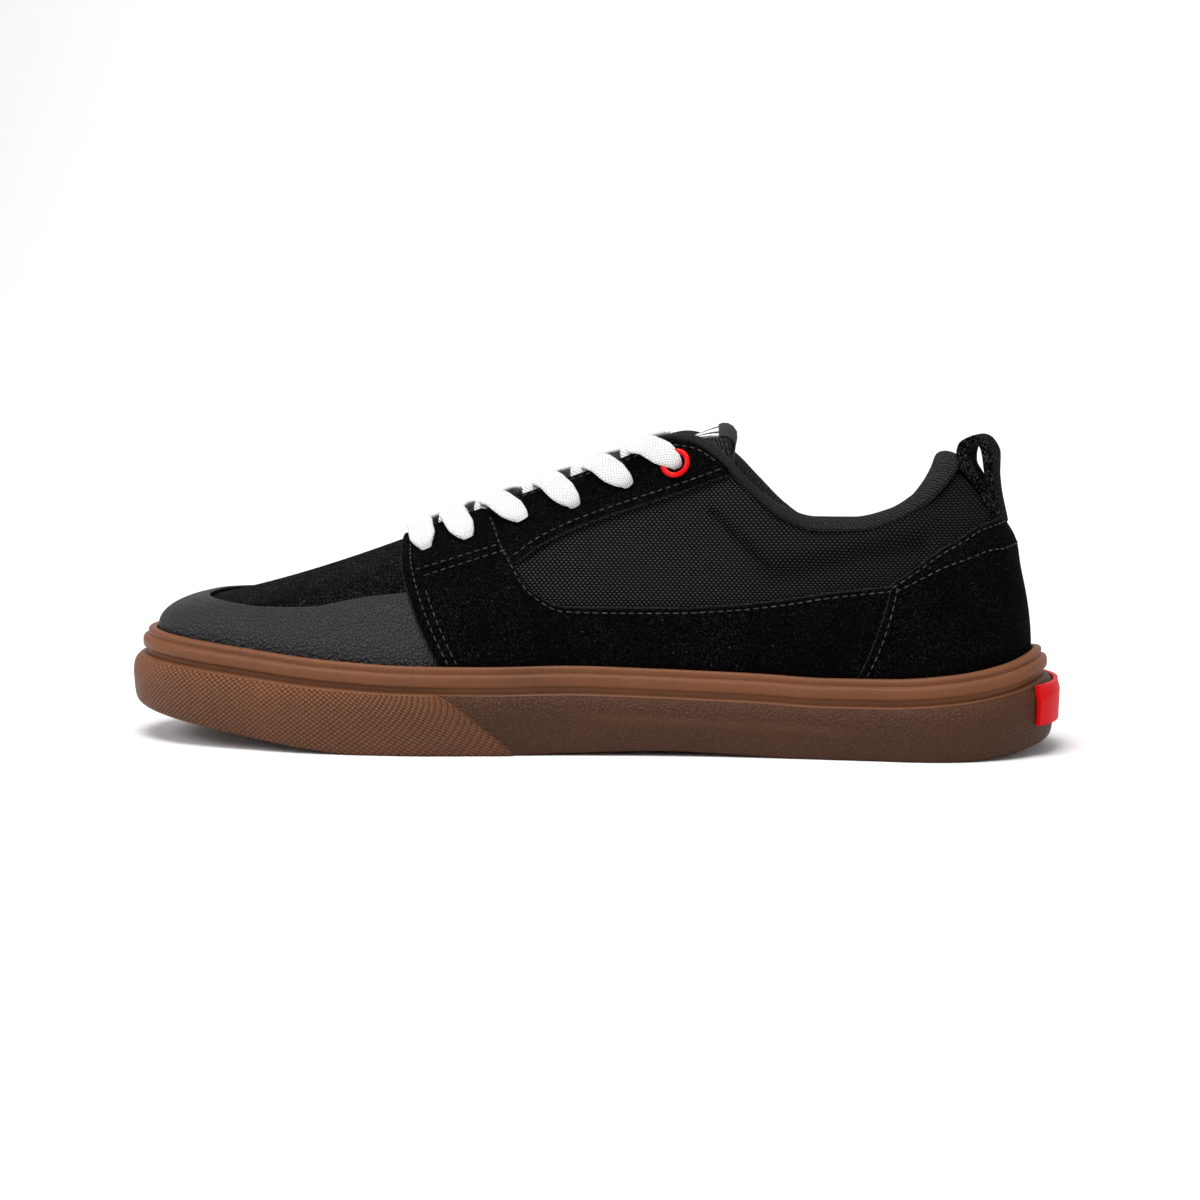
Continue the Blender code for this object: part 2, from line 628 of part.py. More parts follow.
def build_eyestay(side, name, material, centre):
    rim_x, low_x, low_height = (refine(values, 2) for values in zip(*EYESTAY_ROWS))
    lows = [place_on_side(x, height, side) for x, height in zip(low_x, low_height)]
    tops = [place_on_side(x, None, side) for x in rim_x]
    shares = np.linspace(0, 1, EYESTAY_STEPS)[:, None, None]
    return overlay(name, np.array(lows) * (1 - shares) + np.array(tops) * shares, material, centre)


def rim_turn(x, side):
    turn = float(turn_at(RIM_X_TO_BASE_X(x)))
    return turn if side < 0 else 2 * math.pi - turn


def build_collar(material, centre):
    sections = []
    for turn in ring_turns():
        if float(rim(turn)[0]) < COLLAR_START_X:
            continue
        x = float(rim(turn)[0])
        pad = (x - COLLAR_PAD_START_X) / (COLLAR_PAD_FULL_X - COLLAR_PAD_START_X)
        pad = float(np.clip(pad, COLLAR_PAD_LEAST, 1))
        puff = float(np.interp(x, *zip(*COLLAR_PUFF_ROWS)))
        edge = skin(turn, 1.0)
        up = edge - skin(turn, 0.98)
        up /= np.linalg.norm(up)
        normal = skin_normal(turn, 1.0)
        section = []
        for off, rise in COLLAR_ROWS:
            inner_most = LINING_OFFSET - 0.5
            off = inner_most + (off - inner_most) * pad * puff if off < inner_most else off
            if rise > 0:
                section.append(edge + normal * off + up * (rise * puff if rise > 1 else rise))
            else:
                section.append(shell(turn, t_below_rim(turn, -rise * pad + 0.01), off))
        sections.append(section)
    return tube("collar", np.array(sections), material, centre)


def tongue_row(station):
    """One row of the tongue: under the inner eyestay, across the throat, and under the outer eyestay."""
    x, centre_height, thickness, wing, clear = station
    sides = {}
    for side in (-1, 1):
        turn = rim_turn(x, side)
        ts = [t_below_rim(turn, wing * share) for share in (1.0, 0.66, 0.33, 0.0)]
        sides[side] = [(shell(turn, t, LINING_OFFSET - clear), skin_normal(turn, t)) for t in ts]
    first, last = sides[-1][-1], sides[1][-1]
    down = np.array([math.sin(THROAT_SLOPE), 0, -math.cos(THROAT_SLOPE)])
    middle = []
    for share in (0.2, 0.4, 0.5, 0.6, 0.8):
        point = first[0] + (last[0] - first[0]) * share
        crown = centre_height - (first[0][2] + last[0][2]) / 2
        point[2] += crown * (1 - (2 * share - 1) ** 2)
        normal = first[1] * (1 - share) + last[1] * share
        blend = 1 - abs(2 * share - 1)
        normal = normal * (1 - blend) - down * blend
        middle.append((point, normal / np.linalg.norm(normal)))
    line = sides[-1] + middle + sides[1][::-1]
    edge = np.array([0.45, 0.8, 1, 1, 1, 1, 1, 1, 1, 1, 1, 0.8, 0.45])
    top = np.array([point for point, _ in line])
    under = np.array([point - normal * thickness * e for (point, normal), e in zip(line, edge)])
    return top, under


def tongue_grids():
    rows = [tongue_row(station) for station in TONGUE_ROWS]
    tops, unders = [row[0] for row in rows], [row[1] for row in rows]
    front = np.array([-TONGUE_FRONT_REACH, 0, -TONGUE_FRONT_DROP])
    tops.insert(0, tops[0] + front)
    unders.insert(0, unders[0] + front)
    return np.array(tops), np.array(unders)


def build_tongue(material, centre):
    tops, unders = tongue_grids()
    return slab("tongue", tops, unders, material, centre)


def build_tongue_tab(material, centre):
    """A woven tab folded over the top edge of the tongue."""
    tops, unders = tongue_grids()
    cells = slice(4, 9)
    lift = np.array([-math.sin(THROAT_SLOPE), 0, math.cos(THROAT_SLOPE)])
    back = np.array([math.cos(THROAT_SLOPE), 0, math.sin(THROAT_SLOPE)])
    near, far = GAP, GAP + TONGUE_TAB_THICKNESS
    inner, outer = [], []
    for c in range(*cells.indices(tops.shape[1])):
        front_face = [tops[-2, c] * 0.6 + tops[-1, c] * 0.4, tops[-1, c]]
        back_face = [unders[-1, c], unders[-2, c] * 0.35 + unders[-1, c] * 0.65]
        inner.append([
            front_face[0] + lift * near, front_face[1] + lift * near + back * near,
            back_face[0] - lift * near + back * near, back_face[1] - lift * near + back * near,
        ])
        outer.append([
            front_face[0] + lift * far, front_face[1] + lift * far + back * far,
            back_face[0] - lift * far + back * far, back_face[1] - lift * far + back * far,
        ])
    return slab("tongue_tab", np.array(outer), np.array(inner), material, centre)


def eyelet_frame(index, side):
    """(turn, t) of an eyelet."""
    x, below_rim = EYELET_ROWS[index]
    turn = rim_turn(x, side)
    return turn, t_below_rim(turn, below_rim)


def build_eyelet(side, name, material, centre):
    """A rolled ring round the top lace hole."""
    turn, t = eyelet_frame(len(EYELET_ROWS) - 1, side)
    middle = shell(turn, t, GAP + EYELET_RING_HALF_HEIGHT)
    normal = skin_normal(turn, t)
    across = np.cross(normal, [0, 0, 1.0])
    across /= np.linalg.norm(across)
    along = np.cross(across, normal)
    sections = []
    for angle in np.arange(EYELET_RING_SIDES) * 2 * math.pi / EYELET_RING_SIDES:
        out = across * math.cos(angle) + along * math.sin(angle)
        ring = []
        for roll in np.arange(EYELET_ROLL_SIDES) * 2 * math.pi / EYELET_ROLL_SIDES:
            reach = EYELET_RING_RADIUS + EYELET_RING_BAND * math.cos(roll)
            ring.append(middle + out * reach + normal * EYELET_RING_HALF_HEIGHT * math.sin(roll))
        sections.append(ring)
    return hoop(name, np.array(sections), material, centre)


def lace_strip(path, ups):
    """Sections of a flat lace along a path, with rounded edges."""
    path, ups = np.array(path), np.array(ups)
    half, thick = LACE_WIDTH / 2, LACE_THICKNESS / 2
    flat = half * 0.7
    ring = ((-half, 0), (-flat, thick), (flat, thick), (half, 0), (flat, -thick), (-flat, -thick))
    sections = []
    for i, point in enumerate(path):
        ahead = path[min(i + 1, len(path) - 1)] - path[max(i - 1, 0)]
        ahead /= np.linalg.norm(ahead)
        across = np.cross(ups[i], ahead)
        across /= np.linalg.norm(across)
        up = np.cross(ahead, across)
        sections.append([point + across * a + up * b for a, b in ring])
    return np.array(sections)


def lace_route(index, side):
    """From an eyelet over the edge of its eyestay, across the throat, to the inside of the opposite edge."""
    from_x, below_rim = EYELET_ROWS[index]
    to_x = EYELET_ROWS[max(index - 1, 0)][0]
    flat_up = np.array([-math.sin(THROAT_SLOPE), 0, math.cos(THROAT_SLOPE)])
    ringed = index == len(EYELET_ROWS) - 1
    ring_clear = EYELET_RING_RADIUS + EYELET_RING_BAND + LACE_RING_CLEAR
    start_below = below_rim - (ring_clear if ringed else LACE_START_IN)
    path, ups = [], []
    for share, clear in LACE_CLEAR:
        station = rim_turn(from_x + (to_x - from_x) * LACE_DRIFT * share, side)
        place = t_below_rim(station, start_below * (1 - share))
        path.append(shell(station, place, clear + LACE_THICKNESS / 2))
        up = skin_normal(station, place) + flat_up * share
        ups.append(up / np.linalg.norm(up))
    opposite = rim_turn(to_x + (from_x - to_x) * LACE_DRIFT, -side)
    far_edge = shell(opposite, 1.0, LINING_OFFSET - 1.0)
    end = far_edge + np.array([0, side * LACE_END_IN, 0]) + flat_up * LACE_END_UP
    start = path[-1]
    for share in (0.35, 0.7, 1.0):
        path.append(start + (end - start) * share + flat_up * LACE_CROWN * (1 - share) * share)
        ups.append(flat_up)
    return path, ups


def build_lace_bar(material, centre):
    """The straight bar through the two foremost eyelets."""
    inner, inner_ups = lace_route(0, -1)
    outer, outer_ups = lace_route(0, 1)
    path = inner[:3] + outer[:3][::-1]
    ups = inner_ups[:3] + outer_ups[:3][::-1]
    return tube("lace_bar", lace_strip(path, ups), material, centre)


def build_lace_cross(index, material, centre):
    """Two lace runs that cross over the throat, joined where they cross."""
    first = tube(f"lace_cross_{index}", lace_strip(*lace_route(index, -1)), material, centre)
    second = tube(f"lace_cross_{index}_other", lace_strip(*lace_route(index, 1)), material, centre)
    second.hide_render = True
    second.display_type = "WIRE"
    join = first.modifiers.new("cross", "BOOLEAN")
    join.operation = "UNION"
    join.object = second
    return first


def build_lace_holes(centre, material):
    """Punches for the lace holes."""
    points, faces = [], []
    sides = EYELET_HOLE_SIDES
    for index in range(len(EYELET_ROWS)):
        for side in (-1, 1):
            turn, t = eyelet_frame(index, side)
            normal = skin_normal(turn, t)
            across = np.cross(normal, [0, 0, 1.0])
            across /= np.linalg.norm(across)
            along = np.cross(across, normal)
            first = len(points)
            for off in (LINING_OFFSET - 2.0, 2.0):
                hub = shell(turn, t, off)
                for angle in np.arange(sides) * 2 * math.pi / sides:
                    out = across * math.cos(angle) + along * math.sin(angle)
                    points.append(hub + EYELET_HOLE_RADIUS * out)
            faces += grid_faces(2, sides, first, ring=True)
            faces += [tuple(range(first, first + sides)), tuple(range(first + sides, first + 2 * sides))]
    punch = make_object("lace_hole_punch", points, faces, material, centre)
    punch.hide_render = True
    punch.display_type = "WIRE"
    return punch


def punch_holes(obj, punch):
    cut = obj.modifiers.new("lace_holes", "BOOLEAN")
    cut.operation = "DIFFERENCE"
    cut.object = punch


def build_pull_loop(material, centre):
    """A folded strip sewn above the heel counter, its legs pressed together under an open loop."""
    outer, hole = [], []
    for height, hole_x, hole_height in LOOP_LEG_ROWS:
        turn, t = place_on_rib(HEEL_X, height, -1)
        outer.append(shell(math.pi, t, BASE_OFFSET + GAP))
        hole.append((hole_x, 0, hole_height))
    for x, height, hole_x, hole_height in LOOP_ROWS:
        outer.append((x, 0, height))
        hole.append((hole_x, 0, hole_height))
    outer, hole = np.array(outer), np.array(hole)
    wide = np.array([0, LOOP_WIDTH / 2, 0])
    sections = np.stack([outer - wide, outer + wide, hole + wide, hole - wide], axis=1)
    return hoop("pull_loop", sections, material, centre)


def build_heel_tab(material, centre):
    """A plain moulded tab on the back of the heel."""
    grid_outer, grid_inner = [], []
    for height in np.linspace(HEEL_TAB_HIGH, HEEL_TAB_LOW, 4):
        row_outer, row_inner = [], []
        for y in np.linspace(-HEEL_TAB_HALF_WIDTH, HEEL_TAB_HALF_WIDTH, 9):
            point, out = sole_side_at(y, height)
            row_inner.append(point + out * GAP)
            row_outer.append(point + out * (GAP + HEEL_TAB_THICKNESS))
        grid_outer.append(row_outer)
        grid_inner.append(row_inner)
    return slab("heel_tab", np.array(grid_outer), np.array(grid_inner), material, centre)


def sole_side_at(y, height):
    """The sole's side at the back of the heel, at this y and height, and its outward direction in plan."""
    turns = np.linspace(math.pi * 0.8, math.pi * 1.2, 161)
    x, edge_y = outline(turns)
    out_x, out_y = outline_normal(turns)
    over = LAST["overhang"](base_x_at(turns))
    turn = float(np.interp(y, edge_y + out_y * over, turns))
    lip, tread = float(LAST["lip_height"](base_x_at(turn))), float(TREAD(HEEL_X + 7))
    profile = [
        (lip + h if level == "lip" else tread + h, reach) for reach, _, level, h in SOLE_ROWS[BUMPER_FIRST_ROW:]
    ]
    heights, reaches = zip(*reversed(profile))
    reach = max(float(np.interp(height, heights, reaches)), 0.9) * float(LAST["overhang"](base_x_at(turn)))
    x, edge_y = outline(turn)
    out_x, out_y = outline_normal(turn)
    return np.array([x + out_x * reach, edge_y + out_y * reach, height]), np.array([out_x, out_y, 0.0])


def clear_scene():
    for obj in list(bpy.data.objects):
        bpy.data.objects.remove(obj)


def shoe_centre():
    """The empty that every piece hangs from, set so that the origin is under the middle of the shoe."""
    rings = np.array([sole_ring(row) for row in range(len(SOLE_ROWS))]).reshape(-1, 3)
    low, high = rings.min(0), rings.max(0)
    high[0] += HEEL_TAB_THICKNESS + GAP
    centre = bpy.data.objects.new("shoe", None)
    centre.location = Vector((-(low[0] + high[0]) / 2, -(low[1] + high[1]) / 2, 0)) * MM
    bpy.context.scene.collection.objects.link(centre)
    return centre


def main():
    clear_scene()
    centre = shoe_centre()
    gum = finish_of("gum_rubber", (0.20, 0.075, 0.03), 0.6)
    suede = finish_of("black_suede", (0.012, 0.012, 0.013), 0.95)
    canvas = finish_of("black_canvas", (0.016, 0.016, 0.017), 0.85)
    toe_grain = finish_of("grey_toe_grain", (0.042, 0.042, 0.045), 0.6)
    knit = finish_of("black_knit", (0.02, 0.02, 0.021), 0.9)
    white_lace = finish_of("white_lace", (0.86, 0.86, 0.85), 0.85)
    red = finish_of("red_plastic", (0.72, 0.02, 0.02), 0.35)
    white_tab = finish_of("white_woven", (0.85, 0.85, 0.84), 0.8)
    foam = finish_of("insole_cloth", (0.03, 0.03, 0.032), 0.9)

    build_outsole(gum, centre)
    build_insole(foam, centre)
    upper = build_upper(canvas, centre)
    punch = build_lace_holes(centre, suede)
    punched = [upper]
    punched.append(build_quarter(-1, "quarter_inner", suede, centre))
    punched.append(build_quarter(1, "quarter_outer", suede, centre))
    punched.append(build_eyestay(-1, "eyestay_inner", suede, centre))
    punched.append(build_eyestay(1, "eyestay_outer", suede, centre))
    for obj in punched:
        punch_holes(obj, punch)
    build_toe_cap(toe_grain, centre)
    build_counter(suede, centre)
    build_collar(knit, centre)
    build_tongue(knit, centre)
    build_tongue_tab(white_tab, centre)
    build_eyelet(-1, "eyelet_inner", red, centre)
    build_eyelet(1, "eyelet_outer", red, centre)
    build_lace_bar(white_lace, centre)
    for index in range(1, len(EYELET_ROWS)):
        build_lace_cross(index, white_lace, centre)
    build_pull_loop(suede, centre)
    build_heel_tab(red, centre)


main()
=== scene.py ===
"""Looks of a flat-pedal mountain bike shoe for the right foot, standing on a pale studio floor.

The toe points along -X, the heel along +X, and the inner side of the foot along -Y.
"""

import math

import bpy
import numpy as np
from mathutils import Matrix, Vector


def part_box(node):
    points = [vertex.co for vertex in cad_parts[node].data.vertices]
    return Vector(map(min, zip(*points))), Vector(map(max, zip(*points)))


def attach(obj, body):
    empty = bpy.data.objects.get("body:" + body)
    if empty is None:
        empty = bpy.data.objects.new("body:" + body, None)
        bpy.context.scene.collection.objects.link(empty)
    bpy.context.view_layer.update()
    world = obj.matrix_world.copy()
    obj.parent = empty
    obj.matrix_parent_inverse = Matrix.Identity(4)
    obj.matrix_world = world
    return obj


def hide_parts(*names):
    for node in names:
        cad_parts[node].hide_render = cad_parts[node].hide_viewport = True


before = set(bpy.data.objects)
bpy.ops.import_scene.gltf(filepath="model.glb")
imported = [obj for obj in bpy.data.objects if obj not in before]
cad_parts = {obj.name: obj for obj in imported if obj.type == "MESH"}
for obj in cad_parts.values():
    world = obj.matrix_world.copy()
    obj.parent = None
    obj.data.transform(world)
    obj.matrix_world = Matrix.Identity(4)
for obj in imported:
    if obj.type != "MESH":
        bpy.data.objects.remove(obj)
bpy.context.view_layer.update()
bpy.ops.object.select_all(action="DESELECT")


# Outsole
# A cup sole moulded in one piece of gum rubber. Two ribs run round it under the lip, a bumper with a fine
# diamond grain wraps the toe, and the side behind it has a pebbled grain. Sizes are in millimetres.
MM = 0.001
TOE_X, HEEL_X = -141.5, 142.3
GAP = 0.4
LAST_COLUMNS = (
    "x", "centre", "half_width", "lip_height", "rim_x", "wall_share", "wall_run", "roundness",
    "roof_power", "bulge", "overhang", "floor_height",
)
LAST_ROWS = (
    (-141.5, -9.0, 40.0, 35.5, -62.5, 0.29, 0.20, 2.2, 1.40, 0.0, 7.4, 22.0),
    (-125.0, -6.0, 41.0, 34.0, -62.1, 0.31, 0.22, 2.2, 1.35, 0.0, 7.2, 19.0),
    (-100.0, -2.0, 43.5, 31.6, -60.3, 0.38, 0.34, 2.2, 1.25, 0.0, 6.6, 15.6),
    (-75.0, -0.7, 47.8, 29.3, -54.5, 0.46, 0.55, 2.1, 1.15, 0.4, 6.2, 13.4),
    (-50.0, 0.7, 48.8, 27.9, -41.0, 0.50, 0.75, 2.0, 1.10, 0.8, 5.8, 12.6),
    (-25.0, 2.2, 46.2, 27.6, -22.5, 0.55, 0.90, 1.9, 1.05, 1.0, 5.6, 12.6),
    (0.0, 3.2, 42.3, 28.0, -1.0, 0.60, 1.05, 1.8, 1.00, 1.0, 5.6, 13.4),
    (25.0, 3.2, 38.8, 27.3, 21.0, 0.68, 1.15, 1.75, 1.00, 1.0, 5.6, 14.4),
    (42.0, 3.0, 36.9, 26.7, 36.5, 0.80, 1.25, 1.75, 1.00, 1.4, 5.7, 15.0),
    (60.0, 2.4, 35.4, 26.1, 54.0, 0.92, 1.35, 1.75, 1.00, 2.0, 5.9, 15.5),
    (80.0, 1.3, 34.3, 25.2, 75.0, 1.00, 1.40, 1.75, 1.00, 2.4, 6.1, 15.9),
    (100.0, 0.5, 33.6, 25.3, 93.0, 1.00, 1.40, 1.75, 1.00, 2.2, 6.5, 16.3),
    (120.0, 0.0, 33.2, 26.8, 106.6, 1.00, 1.35, 1.75, 1.00, 1.4, 7.0, 16.8),
    (135.0, 0.0, 33.0, 29.6, 115.6, 1.00, 1.30, 1.75, 1.00, 0.6, 7.4, 17.4),
    (142.3, 0.0, 33.0, 32.4, 120.0, 1.00, 1.30, 1.75, 1.00, 0.0, 7.5, 17.8),
)
TOE_ROUND_RUN, TOE_ROUND_POWER = 58.0, 2.1
HEEL_ROUND_RUN, HEEL_ROUND_POWER = 38.0, 2.2
TREAD_COLUMNS = ("x", "height")
TREAD_ROWS = (
    (-151.0, 12.4), (-140.0, 10.2), (-125.0, 7.8), (-110.0, 5.6), (-95.0, 3.4), (-80.0, 1.4),
    (-64.0, 0.0), (-20.0, 0.0), (0.0, 0.8), (30.0, 1.6), (58.0, 0.6), (70.0, 0.0), (122.0, 0.0),
    (135.0, 1.2), (143.0, 2.8), (151.0, 4.8),
)
CUP_OFFSET = -1.35
SOLE_COLUMNS = ("reach", "extra", "level", "height", "round")
SOLE_ROWS = (
    (0.00, CUP_OFFSET, "floor", 0.0, 0.0),
    (0.00, CUP_OFFSET, "lip", -5.2, 0.2),
    (0.00, GAP, "lip", -5.2, 0.2),
    (0.00, GAP, "lip", -0.5, 0.3),
    (0.00, 0.9, "lip", 0.0, 0.6),
    (0.36, 0.0, "lip", -0.1, 0.7),
    (0.45, 0.0, "lip", -0.9, 0.5),
    (0.41, 0.0, "lip", -2.4, 0.25),
    (0.60, 0.0, "lip", -2.7, 0.4),
    (0.68, 0.0, "lip", -3.6, 0.8),
    (0.68, 0.0, "lip", -6.2, 0.7),
    (0.46, 0.0, "lip", -6.8, 0.4),
    (0.46, 0.0, "lip", -8.2, 0.3),
    (0.66, 0.0, "lip", -8.6, 0.5),
    (0.90, 0.0, "lip", -10.4, 1.4),
    (1.00, 0.0, "lip", -13.4, 3.0),
    (0.94, 0.0, "tread", 3.2, 2.0),
    (0.86, 0.0, "tread", 0.7, 0.8),
    (0.74, 0.0, "tread", 0.0, 0.5),
)
BUMPER_FIRST_ROW = 13
BUMPER_STEP, BUMPER_EDGE_WIDTH = 1.0, 0.7
BUMPER_EDGE_TOP_X, BUMPER_EDGE_FOOT_X = -39.8, -16.0
BUMPER_SHEAR_RUN, BUMPER_SHEAR_POWER, BUMPER_BOW, BUMPER_TALL = 45.0, 1.5, 0.85, 19.4
SOLE_COLUMN_COUNT, CORNER_STEPS, BELT_RINGS_UP = 340, 4, 12
TREAD_RIM, TREAD_STEP, TREAD_DEPTH = 5.0, 0.6, 1.4
SPINE_TOE_X, SPINE_HEEL_X = -112.0, 118.0


def column(columns, rows, name):
    return [row[columns.index(name)] for row in rows]


def curve_through(places, values):
    """A smooth curve through a table's points that never overshoots between them."""
    places, values = np.asarray(places, float), np.asarray(values, float)
    step = np.diff(places)
    rise = np.diff(values) / step
    slope = np.concatenate([rise[:1], np.zeros(len(places) - 2), rise[-1:]])
    for i in range(1, len(places) - 1):
        if rise[i - 1] * rise[i] > 0:
            before, after = 2 * step[i] + step[i - 1], step[i] + 2 * step[i - 1]
            slope[i] = (before + after) / (before / rise[i - 1] + after / rise[i])

    def value(place):
        place = np.clip(place, places[0], places[-1])
        i = np.clip(np.searchsorted(places, place) - 1, 0, len(step) - 1)
        s = (place - places[i]) / step[i]
        ends = values[i] * (1 + 2 * s) * (1 - s) ** 2 + values[i + 1] * s * s * (3 - 2 * s)
        return ends + step[i] * (slope[i] * s * (1 - s) ** 2 - slope[i + 1] * s * s * (1 - s))

    return value


def curves_of(columns, rows):
    """One curve over x for each other column of a table."""
    x = column(columns, rows, "x")
    return {name: curve_through(x, column(columns, rows, name)) for name in columns if name != "x"}


LAST = curves_of(LAST_COLUMNS, LAST_ROWS)
TREAD = curves_of(TREAD_COLUMNS, TREAD_ROWS)["height"]


def end_round(distance, run, power):
    """0 at an end of an outline, 1 from run onwards, square to the end like an ellipse."""
    share = 1 - np.clip(distance / run, 0, 1)
    return np.clip(1 - share**power, 0, 1) ** (1 / power)


def turn_at(base_x):
    """The turn round the shoe, from 0 at the toe to pi at the heel, whose section starts at this x."""
    return np.arccos(np.clip(1 - 2 * (np.asarray(base_x, float) - TOE_X) / (HEEL_X - TOE_X), -1, 1))


def base_x_at(turn):
    return TOE_X + (HEEL_X - TOE_X) * (1 - np.cos(turn)) / 2


def side_of(turn):
    """-1 on the inner side of the foot, and 1 on the outer side."""
    return np.where(np.sin(turn) >= 0, -1.0, 1.0)


def on_side(turn, side):
    """The same place on the given side, from a turn between 0 and pi."""
    return np.where(np.asarray(side) < 0, turn, 2 * math.pi - turn)


def outline(turn):
    """The bottom edge of the upper, in plan."""
    x = base_x_at(turn)
    toe = end_round(x - TOE_X, TOE_ROUND_RUN, TOE_ROUND_POWER)
    heel = end_round(HEEL_X - x, HEEL_ROUND_RUN, HEEL_ROUND_POWER)
    return x, LAST["centre"](x) + side_of(turn) * LAST["half_width"](x) * toe * heel


def outline_normal(turn):
    """The outward direction of the outline, in plan."""
    small = 1e-3
    x0, y0 = outline(turn - small)
    x1, y1 = outline(turn + small)
    length = np.hypot(x1 - x0, y1 - y0)
    return (y1 - y0) / length, -(x1 - x0) / length


def sole_ring(row, turns):
    """One ring of the sole, sheared along the slanted back edge of the bumper."""
    reach, extra, level, height, _ = SOLE_ROWS[row]
    flat_x = base_x_at(turns)
    below_top = SOLE_ROWS[BUMPER_FIRST_ROW][3] - height if level == "lip" else BUMPER_TALL - height
    drop = np.clip(below_top / BUMPER_TALL, 0, 1) ** BUMPER_BOW if row >= BUMPER_FIRST_ROW else 0.0
    near = np.clip(1 - np.abs(flat_x - BUMPER_EDGE_TOP_X) / BUMPER_SHEAR_RUN, 0, 1) ** BUMPER_SHEAR_POWER
    sheared = turn_at(flat_x + near * drop * (BUMPER_EDGE_FOOT_X - BUMPER_EDGE_TOP_X))
    sheared = on_side(sheared, side_of(turns))
    base_x = base_x_at(sheared)
    off = reach * LAST["overhang"](base_x) + extra
    if row >= BUMPER_FIRST_ROW:
        off = off + BUMPER_STEP * np.clip((BUMPER_EDGE_TOP_X - flat_x) / BUMPER_EDGE_WIDTH, 0, 1)
    x, y = outline(sheared)
    out_x, out_y = outline_normal(sheared)
    x, y = x + out_x * off, y + out_y * off
    levels = {"floor": LAST["floor_height"], "lip": LAST["lip_height"], "tread": lambda _: TREAD(x)}
    return np.stack([x, y, levels[level](base_x) + height], -1)


def rounded_corners(rings, radii):
    """Rings with each ring but the first and last turned into a rounded corner of this radius."""
    dense = [rings[0]]
    for before, corner, after, radius in zip(rings, rings[1:], rings[2:], radii[1:]):
        ends = []
        for other in (before, after):
            way = other - corner
            length = np.linalg.norm(way, axis=-1, keepdims=True)
            ends.append(corner + way * np.minimum(radius / length, 0.45))
        for s in np.linspace(0, 1, CORNER_STEPS + 1):
            dense.append(ends[0] * (1 - s) ** 2 + corner * 2 * s * (1 - s) + ends[1] * s * s)
    return np.array(dense + [rings[-1]])


def to_spine(ring, share, lift):
    """A ring drawn towards the middle line of the sole."""
    spine_x = np.clip(ring[:, 0], SPINE_TOE_X, SPINE_HEEL_X)
    spine = np.stack([spine_x, LAST["centre"](spine_x), ring[:, 2]], -1)
    drawn = ring + (spine - ring) * np.reshape(share, (-1, 1))
    return drawn + np.array([0, 0, lift])


def lengths_along(points, axis):
    """How far each point of a grid is along its row or column."""
    step = np.linalg.norm(np.diff(points, axis=axis), axis=-1)
    start = np.zeros_like(np.take(step, [0], axis=axis))
    return np.concatenate([start, np.cumsum(step, axis=axis)], axis=axis)


# How far everything is moved onto the solids, worked out below from the sole's box.
SHIFT = np.zeros(3)


def shaped_grid(name, points, finishes, uv=None, edge=None):
    """A grid of quads whose points, in millimetres, take the given places. Its UV is in metres along it, and
    its edge attribute, if given, is how many millimetres each point is from a free edge."""
    rows, columns = points.shape[:2]
    bpy.ops.object.select_all(action="DESELECT")
    bpy.ops.mesh.primitive_grid_add(x_subdivisions=columns - 1, y_subdivisions=rows - 1, size=1)
    piece = bpy.context.object
    piece.name = piece.data.name = name
    mesh = piece.data
    if uv is None:
        middle = points[rows // 2 : rows // 2 + 1]
        across = np.repeat(lengths_along(middle, 1), rows, axis=0)
        uv = np.stack([across, lengths_along(points, 0)], -1)
    flat = np.empty(len(mesh.vertices) * 3)
    mesh.vertices.foreach_get("co", flat)
    flat = flat.reshape(-1, 3)
    order = np.lexsort((np.round(flat[:, 0], 6), np.round(flat[:, 1], 6)))
    places = np.empty_like(flat)
    places[order] = (points.reshape(-1, 3) + SHIFT) * MM
    mesh.vertices.foreach_set("co", places.ravel())
    lengths = np.empty((len(flat), 2))
    lengths[order] = uv.reshape(-1, 2) * MM
    corners = np.empty(len(mesh.loops), dtype=np.int32)
    mesh.loops.foreach_get("vertex_index", corners)
    mesh.uv_layers[0].data.foreach_set("uv", lengths[corners].ravel())
    if edge is not None:
        spread = np.empty(len(flat))
        spread[order] = edge.ravel()
        mesh.attributes.new("edge", "FLOAT", "POINT").data.foreach_set("value", spread)
    mesh.update()
    for finish in finishes:
        mesh.materials.append(finish)
    return piece


def take(*pieces):
    """Selects these pieces alone, with the first of them active."""
    bpy.ops.object.select_all(action="DESELECT")
    for piece in pieces:
        piece.select_set(True)
    bpy.context.view_layer.objects.active = pieces[0]


def weld(piece, smooth_angle=60):
    """Joins the points that lie on each other, turns the faces outwards and shades them smooth."""
    take(piece)
    bpy.ops.object.mode_set(mode="EDIT")
    bpy.ops.mesh.select_all(action="SELECT")
    bpy.ops.mesh.remove_doubles(threshold=2e-6)
    bpy.ops.mesh.normals_make_consistent(inside=False)
    bpy.ops.object.mode_set(mode="OBJECT")
    bpy.ops.object.shade_smooth_by_angle(angle=math.radians(smooth_angle))
    return piece


def settle(piece, slot, *nodes):
    """The piece rides on the shoe and stands for its solids. Its slot is not used."""
    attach(piece, "root")
    if nodes:
        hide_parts(*nodes)
    return piece


